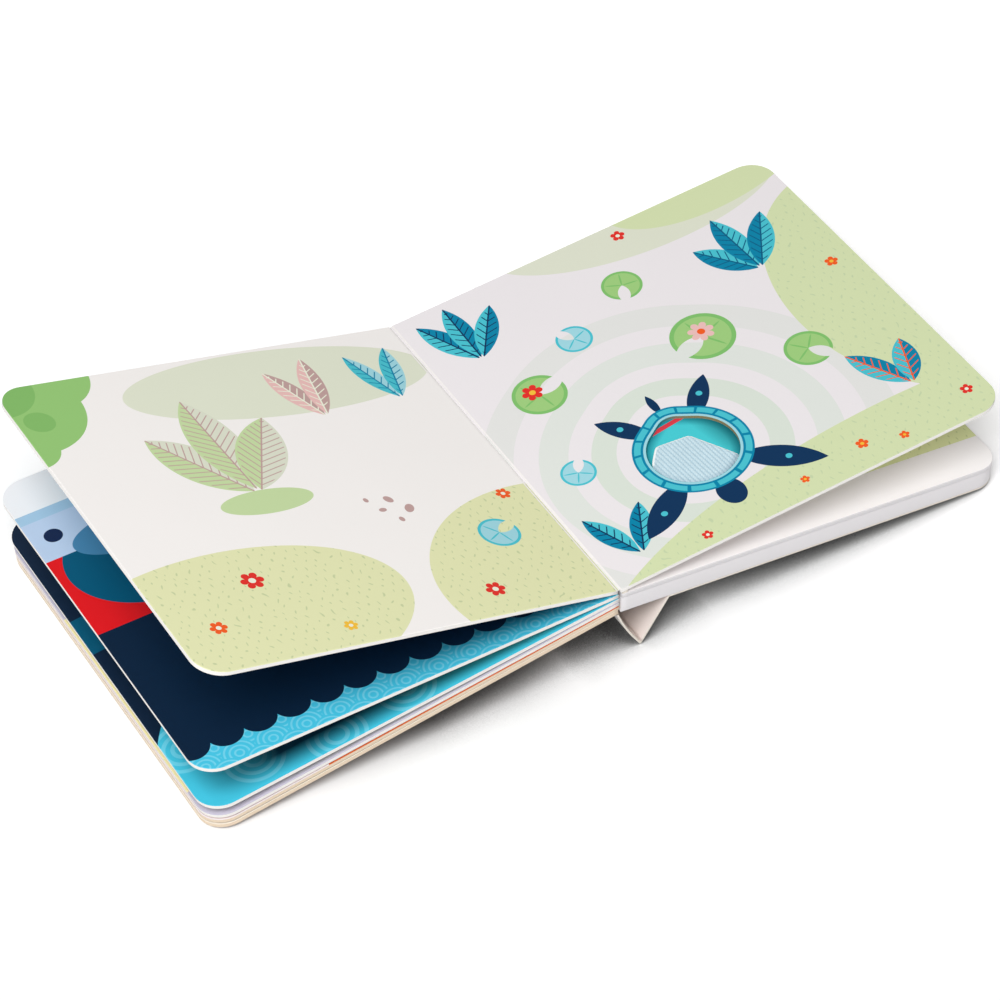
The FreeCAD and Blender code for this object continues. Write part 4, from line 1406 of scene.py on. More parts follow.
# The window's floor: teal print with a red band. It is darker towards the window's rim and darker
# still at its right end, which is painted shade from the wall.
POND_FLOOR = Printed("pond_floor", ink(70, 200, 208),
                     (Layer(WINDOW.band(-2.2, 9, 4.4), ink(26, 134, 148)),
                      Layer(Side(86, -44, 10, 12.0), ink(12, 96, 104)),
                      Layer(Within(Side(70.5, -27.4, 96), Side(70.5, -24.9, 276)),
                            ink(216, 60, 72))))
POND_BACK = spotted("pond_back", ink(246, 238, 238), Disc(120, -10, 62), ink(226, 236, 226))
BLOCK_TOP = Printed("block_top", ink(230, 237, 176),
                    (Layer(GRASS, ink(206, 216, 152)),
                     Layer(Side(0, -79, 270), ink(250, 247, 246))))
COVER_OUTSIDE = Printed("cover_outside", ink(238, 236, 232))
COVER_FRONT = Printed("cover_front", ink(12, 74, 104),
                      (Waves(30.0, Side(0, -46, 90), ink(24, 104, 136)),
                       Layer(Oval(100, -104, 140, 52), ink(132, 104, 84))))
COVER_BACK = Printed("cover_back", ink(12, 74, 104),
                     (Waves(30.0, Side(0, 20, 90), ink(24, 104, 136)),
                      Layer(Oval(110, -112, 140, 48), ink(106, 104, 96))))


# ---------------------------------------------------------------- the boards

@dataclass(frozen=True)
class BoardSizes:
    """Sizes in millimetres that all the boards share."""
    width: float = 198.0
    half: float = 100.0
    corner: float = 12.5
    leaf: float = 2.25
    card: float = 0.9
    start: float = 0.85
    gutter: float = 37.946989
    pitch: float = 2.30
    cover_angle: float = 7.024417
    block_angle: float = 6.845468
    block_x: float = 0.4
    block_z: float = 23.6
    block_height: float = 11.1
    cut_round: float = 0.2
    nose: float = 0.65
    card_start: float = 24.65

    @property
    def block(self) -> Station:
        """The sound block's outer face."""
        return Station(self.block_x, self.block_z, -self.block_angle)

    def left(self, place: int, fan: float) -> Station:
        """The top face of a left board, counted from the top, fanned over the cover."""
        return Station(0.0, self.gutter - place * self.pitch, fan - self.cover_angle, -1)

    def outline(self, inset: float = 0.0, start: Optional[float] = None) -> np.ndarray:
        """A page outline moved in by an inset."""
        return page_ring(self.start if start is None else start, self.width, self.half,
                         self.corner, inset)

    def cut_edge(self, thick: float) -> tuple[np.ndarray, np.ndarray]:
        """Depths below the top face and the inset at each, for an edge with rounded lips.

        Args:
            thick: The board's thickness.

        Returns:
            The depths from the top down, and the insets.
        """
        depth = thick / 2 * (1 - np.cos(np.linspace(0, math.pi, 17)))
        near = np.minimum(depth, thick - depth)
        short = np.clip(self.cut_round - near, 0, None)
        return depth, self.cut_round - np.sqrt(self.cut_round ** 2 - short ** 2)


SIZES = BoardSizes()


def make_leaf(name: str, station: Station, thick: float, finishes: Sequence[bpy.types.Material],
              nose: bool, lip: int = 3) -> bpy.types.Object:
    """A page-sized board below its top face, with a rounded fold at its spine if it has one.

    Each ring is the outline at one depth. At the fold the spine side stands out by the height
    of a half circle at that depth.

    Args:
        name: The piece's name.
        station: Where its top face stands.
        thick: Its thickness.
        finishes: Top print, cut edge and bottom print.
        nose: Whether its spine side is a rounded fold.
        lip: How many bands of the rounded edge the top print still covers.

    Returns:
        The board.
    """
    depths, insets = SIZES.cut_edge(thick)
    rings = []
    for depth, inset in zip(depths, insets):
        outline = SIZES.outline(float(inset))
        if nose:
            spine = outline[:, 0] < SIZES.start + inset + 1e-6
            outline[spine, 0] = SIZES.start - SIZES.nose * math.sqrt(
                max(0.0, 1 - (1 - 2 * depth / thick) ** 2))
        rings.append(rings_at(outline, -float(depth)))
    gaps = len(rings) - 1
    loft = Loft(np.stack(rings), [0] * (lip + 1) + [1] * (gaps - lip) + [2],
                [False] + [True] * gaps + [False])
    return loft.build(name, station, finishes)


@dataclass
class Library:
    """Every finish, made once."""
    made: dict = field(default_factory=dict)

    def get(self, finish: Any) -> bpy.types.Material:
        """The material of a finish.

        Args:
            finish: The finish.

        Returns:
            Its one material.
        """
        if finish.name not in self.made:
            self.made[finish.name] = finish.make()
        return self.made[finish.name]

    def several(self, *finishes: Any) -> list[bpy.types.Material]:
        """The materials of several finishes."""
        return [self.get(finish) for finish in finishes]


def settle(piece: bpy.types.Object, slot: str, *nodes: str, body: Optional[str] = None
           ) -> bpy.types.Object:
    """Hide the nodes that a piece stands for, and attach the piece to the body that it rides.

    Args:
        piece: The piece.
        slot: The slot's name; not used.
        *nodes: The nodes that it stands for.
        body: The body that it rides, if it rides just one.

    Returns:
        The same piece.
    """
    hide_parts(*nodes)
    if body:
        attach(piece, body)
    LOG.info("%s: %d faces", piece.name, len(piece.data.polygons))
    return piece


LEAF_EDGE = BoardEdge("leaf_edge", ink(244, 242, 240), ink(232, 228, 223))
WARM_EDGE = BoardEdge("warm_edge", ink(240, 224, 202), ink(218, 195, 168))
CARD_EDGE = BoardEdge("card_edge", ink(238, 233, 224), ink(214, 204, 190))
# The window's wall: painted shade, a dark teal, with the board's tan cut core at its right end.
WINDOW_WALL = Printed("window_wall", ink(44, 132, 140),
                      (Layer(Side(82, -40, 30, 8.0), ink(146, 130, 96)),), 0.7, 0.05)
CARD_INSIDE = PlainPaper("card_inside", ink(232, 220, 214))
BLOCK_WRAP = PlainPaper("block_wrap", ink(219, 216, 218), 0.5)


@dataclass
class LeftHalf:
    """The five fanned leaves and the front cover."""
    library: Library
    # Each leaf's fan over the cover in degrees, its top, edge and underside, and how many bands
    # of the rounded edge its top print covers.
    leaves: tuple = ((22.9, MEADOW_PAGE, LEAF_EDGE, HARBOUR_BACK, 4),
                     (7.6, HARBOUR_PAGE, LEAF_EDGE, WAVE_BACK, 4),
                     (1.4, WAVE_PAGE, LEAF_EDGE, SAND_BACK, 4),
                     (0.4, BLUE_PAGE, LEAF_EDGE, BLUE_BACK, 5),
                     (0.2, SAND_PAGE, WARM_EDGE, SAND_BACK, 5))

    def build(self) -> list[bpy.types.Object]:
        """Make the leaves from the top down, then the cover.

        Returns:
            The five leaves and the cover.
        """
        pieces = []
        for place, (fan, top, edge, back, lip) in enumerate(self.leaves):
            leaf = make_leaf(f"left_leaf_{place + 1}", SIZES.left(place, fan), SIZES.leaf,
                             self.library.several(top, edge, back), True, lip)
            pieces.append(settle(leaf, "printed_board", "left_pages", body="front_half"))
        cover = make_leaf("front_cover_board", SIZES.left(len(self.leaves), 0.0), SIZES.leaf,
                          self.library.several(COVER_INSIDE, WARM_EDGE, COVER_FRONT), False)
        pieces.append(settle(cover, "printed_board", "front_cover", body="front_half"))
        return pieces


@dataclass
class TouchLeaf:
    """The right-hand leaf with its egg window, the knit patch in it, and its fold."""
    library: Library
    egg: Egg = WINDOW
    rise: float = 3.1
    recess: float = 1.35
    rim: float = 0.2
    lip: int = 4
    patch_gap: float = 0.25
    patch_thick: float = 0.8
    patch_press: float = 0.16
    patch_lip: float = 0.38
    patch_bare: float = 0.45
    patch_middle: tuple = (-1.5, -5.0)
    patch_cuts: tuple = ((-19.3, 3.3), (-12.5, 11.3), (3.3, 8.9), (17.5, -18.2))
    patch_sharp: float = 26.0
    rib_pitch: float = 1.82
    rib_lean: float = 4.2
    rib_height: float = 0.15
    puff_fall: float = 0.34
    puff_width: float = 1.1
    wave_height: float = 0.05
    fold_width: float = 2.6
    fold_swell: float = 0.22

    @property
    def station(self) -> Station:
        """The leaf's top face."""
        return Station(0.0, SIZES.gutter, self.rise)

    def build_leaf(self) -> bpy.types.Object:
        """Window floor, wall, rounded rim, page, cut edge and underside, as one run of rings.

        Returns:
            The leaf.
        """
        centre = (self.egg.x, self.egg.y)
        outline = SIZES.outline()

        def window(grow: float, height: float) -> np.ndarray:
            """The window's outline at a height, one point for each point of the page."""
            return rings_at(seen_from(centre, outline, self.egg.ring(grow)), height)

        turns = np.linspace(0, math.pi / 2, 5)
        rings = [window(0, -self.recess), window(0, -self.recess * 0.6), window(0, -self.rim)]
        rings += [window(self.rim * (1 - math.cos(t)), -self.rim * (1 - math.sin(t)))
                  for t in turns[1:]]
        inner = len(rings)
        depths, insets = SIZES.cut_edge(SIZES.leaf)
        rings += [rings_at(SIZES.outline(float(inset)), -float(depth))
                  for depth, inset in zip(depths, insets)]
        outer = len(rings) - inner - 1
        bands = [3] + [4] * (inner - 1) + [0] * (self.lip + 1) + [1] * (outer - self.lip) + [2]
        loft = Loft(np.stack(rings), bands,
                    [False] + [True] * (inner - 1) + [False] + [True] * outer + [False])
        leaf = loft.build("right_leaf_board", self.station, self.library.several(
            POND_PAGE, LEAF_EDGE, POND_BACK, POND_FLOOR, WINDOW_WALL))
        return settle(leaf, "printed_board", "right_leaf", body="back_half")

    def patch_reach(self, angle: np.ndarray, centre: tuple[float, float]) -> np.ndarray:
        """Distance from a centre to the patch's edge at each angle.

        The smallest of the distances to the egg and to the three cut lines, joined softly so
        that the corners are round: the sum of their -p powers, to the power -1/p.

        Args:
            angle: The angles in radians.
            centre: The point to measure from.

        Returns:
            One distance for each angle.
        """
        reaches = [reach_of(centre, self.egg.ring(-self.patch_gap), angle)]
        for (ax, ay), (bx, by) in zip(self.patch_cuts, self.patch_cuts[1:]):
            normal = np.array([ay - by, bx - ax]) / math.hypot(bx - ax, by - ay)
            start = np.array([self.egg.x + ax, self.egg.y + ay]) - np.array(centre)
            toward = np.cos(angle) * normal[0] + np.sin(angle) * normal[1]
            reaches.append(np.where(toward > 0.02, (start @ normal) / np.maximum(toward, 0.02),
                                    1e3))
        return sum(reach ** -self.patch_sharp for reach in reaches) ** (-1 / self.patch_sharp)

    def build_patch(self) -> bpy.types.Object:
        """The puffed patch: rings from its middle out, ribbed on top, and its cut edge.

        Height is the cloth's thickness, less an even fall near the edge, plus a rounded ridge
        over every rib, plus a slow wave.

        Returns:
            The patch.
        """
        centre = (self.egg.x + self.patch_middle[0], self.egg.y + self.patch_middle[1])
        angle = np.linspace(0, 2 * math.pi, 480, endpoint=False)
        reach = self.patch_reach(angle, centre)
        share = np.concatenate([np.linspace(0.012, 0.94, 74), 1 - 0.06 * np.cos(
            np.linspace(0.15, 1, 9) * math.pi / 2)])
        spread = share[:, None] * reach[None]
        along = centre[0] + spread * np.cos(angle)
        across = centre[1] + spread * np.sin(angle)
        lean = math.radians(self.rib_lean)
        rib = (along * math.cos(lean) + across * math.sin(lean)) / self.rib_pitch
        ridge = np.sqrt(np.clip(1 - (2 * np.abs(rib - np.floor(rib) - 0.5)) ** 2, 0, 1))
        inset = (1 - share[:, None]) * reach[None]
        fall = self.puff_fall * (1 - np.clip(inset / self.puff_width, 0, 1))
        wave = self.wave_height * np.sin(along * 0.31 + 1.0) * np.cos(across * 0.27)
        base = -self.recess
        height = (base + self.patch_thick - self.patch_press + self.rib_height * ridge + wave
                  - fall)
        top = np.stack([along, across, height], -1)
        edge = np.stack([top[-1, :, 0], top[-1, :, 1], np.full(len(angle), base + 0.01)], -1)
        lip = top[-1].copy()
        lip[:, 2] = np.minimum(lip[:, 2] - 0.1, base + self.patch_lip)
        rings = np.concatenate([top, lip[None], edge[None]])
        gaps = len(rings) - 1
        loft = Loft(rings, [0] * (gaps - 2) + [1] * 4, [True] * (gaps + 1) + [False])
        ring = self.egg.ring(-self.patch_gap)
        gap = np.hypot(*(seen_from(centre, top[-1, :, :2], ring) - centre).T) - reach
        # The knit's darker ink is the painted shade in its grooves.
        patch = loft.build("knit_touch_patch", self.station, self.library.several(
            Knit("knit", ink(208, 230, 238), ink(150, 184, 202), self.rib_pitch,
                 self.rib_lean), PlainPaper("knit_backing", ink(246, 250, 250), 0.8)))
        numbers = np.zeros(len(patch.data.polygons), np.int32)
        patch.data.polygons.foreach_get("material_index", numbers)
        bands = numbers[:gaps * len(angle)].reshape(gaps, len(angle))
        bands[len(top) - 7:len(top) - 1, gap > self.patch_bare] = 1
        patch.data.polygons.foreach_set("material_index", numbers)
        return settle(patch, "knit", "knit_patch", body="back_half")

    def build_fold(self) -> bpy.types.Object:
        """The sheet that folds from the leaf down to the block, filled to its crease.

        Its section is a quadrilateral between the block's top and the leaf's underside whose
        spine side swells by a half sine.

        Returns:
            The fold.
        """
        block = SIZES.block.world(np.array([[0.02, 0, SIZES.block_height],
                                            [self.fold_width, 0, SIZES.block_height]])) / MM
        leaf = self.station.world(np.array([[block[1, 0], 0, -SIZES.leaf],
                                            [block[0, 0] + 0.3, 0, -SIZES.leaf]])) / MM
        corners = np.stack([block[0], block[1], leaf[0], leaf[1]])[:, [0, 2]]
        share = np.linspace(0, 1, 10, endpoint=False)
        sides = [corners[k] + share[:, None] * (corners[(k + 1) % 4] - corners[k])
                 for k in range(4)]
        sides[3][:, 0] -= self.fold_swell * np.sin(share * math.pi)
        section = np.concatenate(sides)
        middle = section.mean(0)
        rings = []
        for y, shrink in ((-99.85, 0.93), (-99.7, 1), (-33, 1), (33, 1), (99.7, 1),
                          (99.85, 0.93)):
            drawn = middle + (section - middle) * shrink
            rings.append(np.stack([drawn[:, 0], np.full(len(drawn), y), drawn[:, 1]], 1))
        gaps = len(rings) - 1
        fold = Loft(np.stack(rings), [0] * (gaps + 2), [False] + [True] * gaps + [False]).build(
            "right_leaf_fold", LEVEL, self.library.several(CARD_EDGE))
        return settle(fold, "printed_board", "right_leaf", body="back_half")

    def build(self) -> list[bpy.types.Object]:
        """The leaf, its patch and its fold."""
        return [self.build_leaf(), self.build_patch(), self.build_fold()]


def ribbon(name: str, path: np.ndarray, thick: float, finishes: Sequence[bpy.types.Material],
           half: float = 100.0, twin: bool = False) -> bpy.types.Object:
    """A strip of card: a thin round-ended section in y carried along a path.

    Args:
        name: The piece's name.
        path: (M, 2) middle line as x and z in millimetres.
        thick: The card's thickness.
        finishes: Upper face, edge and lower face.
        half: Half its width along y.
        twin: Whether the upper face changes finish in the path's middle.

    Returns:
        The strip.
    """
    ways = np.gradient(path, axis=0)
    ways /= np.linalg.norm(ways, axis=1, keepdims=True)
    normals = np.stack([-ways[:, 1], ways[:, 0]], 1)
    run = np.concatenate([[0], np.cumsum(np.linalg.norm(np.diff(path, axis=0), axis=1))])
    lip = min(0.18, thick * 0.4)
    turn = np.linspace(0, math.pi / 2, 4)
    corner = np.stack([lip * np.sin(turn), lip * np.cos(turn)], 1)
    high, y_edge = thick / 2 - lip, half - lip
    section = np.concatenate([
        np.stack([y_edge + corner[:, 0], high + corner[:, 1]], 1),
        np.stack([y_edge + corner[::-1, 0], -high - corner[::-1, 1]], 1),
        np.stack([-y_edge - corner[:, 0], -high - corner[:, 1]], 1),
        np.stack([-y_edge - corner[::-1, 0], high + corner[::-1, 1]], 1)])
    place = path[:, None, :] + section[None, :, 1, None] * normals[:, None, :]
    across = np.broadcast_to(section[None, :, 0], place.shape[:2])
    rings = np.stack([place[..., 0], across, place[..., 1]], -1)
    away = np.abs(rings[..., 0]) if twin else np.broadcast_to(run[:, None], across.shape)
    flat = np.stack([away, across], -1)
    loft = Loft(rings, [1] * (len(path) + 1), [False] + [True] * (len(path) - 1) + [False], flat)
    piece = loft.build(name, LEVEL, finishes)
    mesh = piece.data
    count, steps = len(section), len(path) - 1
    faces = np.arange(steps * count)
    spot, step = faces % count, faces // count
    upper_side, lower_side = count - 1, count // 2 - 1
    numbers = np.full(len(mesh.polygons), 1, np.int32)
    upper = np.where(step >= steps / 2, 3, 0) if twin else 0
    numbers[faces] = np.where(spot == upper_side, upper, np.where(spot == lower_side, 2, 1))
    mesh.polygons.foreach_set("material_index", numbers)
    smooth = np.arange(len(mesh.polygons)) < len(faces)
    mesh.polygons.foreach_set("use_smooth", smooth)
    mesh.update()
    return piece


def rounded_path(corners: Sequence[tuple[float, float]], radius: float, step: float = 0.25
                 ) -> np.ndarray:
    """A line through corners with each bend eased by a curve with its control at the corner.

    Args:
        corners: The bends and the two ends.
        radius: How far from a corner its bend starts.
        step: Rough spacing of the points on the bends.

    Returns:
        (M, 2) points.
    """
    spots = [np.array(spot, float) for spot in corners]
    runs = [spots[0][None]]
    for before, here, after in zip(spots, spots[1:], spots[2:]):
        first = here + (before - here) / np.linalg.norm(before - here) * radius
        last = here + (after - here) / np.linalg.norm(after - here) * radius
        t = np.linspace(0, 1, max(5, round(2 * radius / step)))[:, None]
        runs.append((1 - t) ** 2 * first + 2 * t * (1 - t) * here + t ** 2 * last)
    runs.append(spots[-1][None])
    line = np.concatenate(runs)
    keep = np.concatenate([[True], np.linalg.norm(np.diff(line, axis=0), axis=1) > 1e-6])
    return line[keep]


@dataclass
class CoverCard:
    """The free part of the cover card: the crease, the margin, the tip and the spine panel."""
    library: Library
    crease: tuple = (24.258708, 20.987612)
    tip: tuple = (9.789938, 0.6)
    top: tuple = (-0.868462, 23.159929)
    bow: float = 0.8
    lap: float = 0.02
    lead: tuple = (-0.5, 0.06)
    crease_run: float = 1.1
    crease_round: float = 0.35
    tip_run: float = 0.95
    foot_run: float = 0.5
    gutter_half: float = 0.92
    gutter_rise: tuple = (3.1, 15.876)
    gutter_dip: float = 0.3
    sheet: float = 0.16

    def build_margin(self) -> bpy.types.Object:
        """From the glued card round the crease and down to the tip.

        Returns:
            The margin.
        """
        start = SIZES.block.world(np.array([[SIZES.card_start - self.lap, 0, SIZES.card / 2]]))[0]
        inner = start[[0, 2]] / MM
        crease, tip = np.array(self.crease), np.array(self.tip)
        way = (tip - crease) / np.linalg.norm(tip - crease)
        path = rounded_path([inner, inner + self.lead, crease + way * self.crease_run,
                             tip - way * self.tip_run], self.crease_round)
        share = np.linspace(0, 1, 14)[:, None]
        dense = [path[:-2], path[-2] + share * (path[-1] - path[-2])]
        card = ribbon("margin_card", np.concatenate(dense), SIZES.card,
                      self.library.several(COVER_OUTSIDE, CARD_EDGE, CARD_INSIDE))
        settle(card, "cover_card", "cover_margin")
        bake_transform(card)
        return card

    def build_spine(self) -> bpy.types.Object:
        """Round the tip and up to the front cover, bowed outwards by a half sine.

        Returns:
            The spine panel.
        """
        crease, tip, top = map(np.array, (self.crease, self.tip, self.top))
        way = (tip - crease) / np.linalg.norm(tip - crease)
        rise = (top - tip) / np.linalg.norm(top - tip)
        side = np.array([-rise[1], rise[0]])
        foot = tip + rise * self.foot_run
        share = np.linspace(0, 1, 30)[:, None]
        run = foot + share * (top - foot) + side * self.bow * np.sin(share * math.pi)
        start = tip - way * (self.tip_run - self.lap)
        t = np.linspace(0, 1, 7)[:-1, None]
        bend = (1 - t) ** 2 * start + 2 * t * (1 - t) * (tip + side * 0.1) + t ** 2 * run[0]
        card = ribbon("spine_card", np.concatenate([bend, run]), SIZES.card,
                      self.library.several(COVER_OUTSIDE, CARD_EDGE, CARD_INSIDE))
        settle(card, "cover_card", "spine_panel")
        (x0, z0), (x1, z1) = start * MM, (tip + rise * 0.6) * MM
        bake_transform(card)
        return card

    def build_gutter(self) -> bpy.types.Object:
        """The creased sheet that crosses the gutter between the two top leaves.

        Its middle dips by half a cosine between the two creases.

        Returns:
            The creased sheet.
        """
        half = self.gutter_half
        x = np.linspace(-half, half, 17)
        right, left = (math.tan(math.radians(angle)) for angle in self.gutter_rise)
        dip = self.gutter_dip * (1 + np.cos(x / half * math.pi)) / 2
        path = np.stack([x, SIZES.gutter + np.where(x > 0, right, left) * abs(x) - dip - 0.09], 1)
        sheet = ribbon("gutter_crease", path, self.sheet, self.library.several(
            MEADOW_PAGE, LEAF_EDGE, CARD_INSIDE, POND_PAGE), 99.8, True)
        settle(sheet, "printed_board", "left_pages")
        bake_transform(sheet)
        return sheet

    def build(self) -> list[bpy.types.Object]:
        """The margin, the spine panel and the gutter's crease."""
        return [self.build_margin(), self.build_spine(), self.build_gutter()]


@dataclass
class SoundBlock:
    """The wrapped block, its cover card with the module's window, and the module's finishes."""
    library: Library
    button: tuple = (72.0, -46.0)
    button_bay: float = 5.3
    wall: float = 0.8
    sheet: float = 0.6
    foot: float = 0.12
    shoulder: float = 0.3
    seam: float = 0.07
    window: tuple = (86.0, -31.0, 39.0, 28.0)
    window_round: float = 2.0
    lip: float = 0.15
    lap: float = 0.02

    def build_tray(self) -> bpy.types.Object:
        """From the button's bay out over the ceiling, down, round the rim, up and over the top.

        Returns:
            The tray.
        """
        angle = np.linspace(0, 2 * math.pi, 240, endpoint=False)
        circle = np.array(self.button) + self.button_bay * np.stack(
            [np.cos(angle), np.sin(angle)], 1)
        bay = seen_from(self.button, SIZES.outline(0, 0.0), circle)
        top, ceiling = SIZES.block_height, SIZES.block_height - SIZES.leaf
        base, foot, seam, wall = SIZES.card, self.foot, self.seam, self.wall
        # Each ring's inset and height: inner wall, foot, the top board's seam, and its shoulder.
        levels = [(wall, ceiling), (wall, base), (foot, base), (0, base + foot),
                  (0, base + self.shoulder), (0, ceiling - seam), (seam, ceiling),
                  (0, ceiling + seam), (0, top - 2 * self.shoulder)]
        levels += [(self.shoulder * (1 - math.cos(turn)),
                    top - self.shoulder * (1 - math.sin(turn)))
                   for turn in np.linspace(0, math.pi / 2, 7)]
        rings = [rings_at(bay, top - self.sheet), rings_at(bay, ceiling)]
        rings += [rings_at(SIZES.outline(inset, 0.0), height) for inset, height in levels]
        gaps = len(rings) - 1
        bands = [2] * 4 + [1] * (gaps - 3) + [0]
        smooth = [False] * 5 + [True] * 3 + [False] * 2 + [True] * (gaps - 9) + [False]
        tray = Loft(np.stack(rings), bands, smooth).build(
            "block_wrap", SIZES.block, self.library.several(BLOCK_TOP, BLOCK_WRAP, CARD_INSIDE))
        return settle(tray, "printed_board", "block_tray", body="back_half")

    def build_card(self) -> bpy.types.Object:
        """The glued cover card: window edge, outer face, cut edge and glued face.

        Returns:
            The cover card.
        """
        x, y, hx, hy = self.window
        outline, inner = (SIZES.outline(inset, SIZES.card_start) for inset in (0, self.lip))
        r = self.window_round
        turn = np.linspace(0, math.pi / 2, 20)
        corners = []
        for number, (sx, sy) in enumerate(((1, 1), (-1, 1), (-1, -1), (1, -1))):
            angle = turn + number * math.pi / 2
            corners.append(np.stack([x + sx * (hx - r) + r * np.cos(angle),
                                     y + sy * (hy - r) + r * np.sin(angle)], 1))
        frame_line = np.concatenate(corners)
        dense = np.stack([frame_line + share * (np.roll(frame_line, -1, 0) - frame_line)
                          for share in np.linspace(0, 1, 24, endpoint=False)], 1).reshape(-1, 2)
        hole = seen_from((x, y), outline, dense)
        thick = SIZES.card
        rings = [rings_at(line, height) for line, height in (
            (hole, thick - self.lap), (hole, 0.0), (inner, 0.0), (outline, self.lip),
            (outline, thick - self.lip), (inner, thick - self.lap))]
        card = Loft(np.stack(rings), [1, 0, 1, 1, 1, 2], [False, False, True, True, True, False],
                    tube=True).build("cover_board_card", SIZES.block, self.library.several(
                        COVER_BACK, CARD_EDGE, CARD_INSIDE))
        return settle(card, "cover_card", "back_cover", body="back_half")

    def dress(self) -> None:
        """Give the carried-over parts of the module their finishes."""
        steel = Metal("screw_steel", ink(196, 198, 202), 0.28)
        table = {
            "block_core": PlainPaper("grey_board", ink(158, 152, 144), 0.85, 0.06),
            "module_base": Moulded("case_white", ink(222, 223, 221), 0.5),
            "module_lid": Moulded("lid_white", ink(214, 215, 213), 0.5),
            "battery_door": Moulded("door_white", ink(226, 227, 225), 0.45),
            "case_screws": steel, "door_screw": steel,
            "circuit_board": Laminate("board_laminate", ink(24, 92, 60), ink(96, 150, 84)),
            "sound_chip": Moulded("chip_resin", ink(26, 26, 28), 0.35),
            "speaker_frame": Metal("speaker_steel", ink(170, 170, 168), 0.35),
            "speaker_cone": PlainPaper("cone_paper", ink(52, 50, 48), 0.9, 0.08),
            "speaker_magnet": Metal("magnet_grey", ink(92, 92, 96), 0.45),
            "switch_body": Moulded("switch_black", ink(34, 34, 36), 0.4),
            "switch_knob": Moulded("knob_black", ink(24, 24, 26), 0.45, 2.4),
            "touch_button": Moulded("button_clear", ink(206, 210, 214), 0.3),
            "snap_dome": Metal("dome_steel", ink(206, 206, 202), 0.22),
            "speaker_leads": Moulded("lead_black", ink(30, 30, 32), 0.5),
            "battery_leads": Moulded("lead_red", ink(186, 34, 30), 0.5),
        }
        cell = Metal("cell_steel", ink(204, 204, 200), 0.25, (2.0, 2.0, 0.3))
        nickel = Metal("contact_nickel", ink(214, 206, 190), 0.28)
        table.update({f"button_cell_{k}": cell for k in (1, 2, 3)})
        table.update({f"contact_{k}": nickel for k in ("plus", "link", "door", "minus")})
        for name, finish in table.items():
            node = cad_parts[name]
            material = self.library.get(finish)
            if not node.material_slots:
                node.data.materials.append(material)
            for place in node.material_slots:
                place.material = material

    def build(self) -> list[bpy.types.Object]:
        """The tray, the card and the dressed module.

        Returns:
            The tray and the card.
        """
        pieces = [self.build_tray(), self.build_card()]
        self.dress()
        return pieces


# ---------------------------------------------------------------- studio

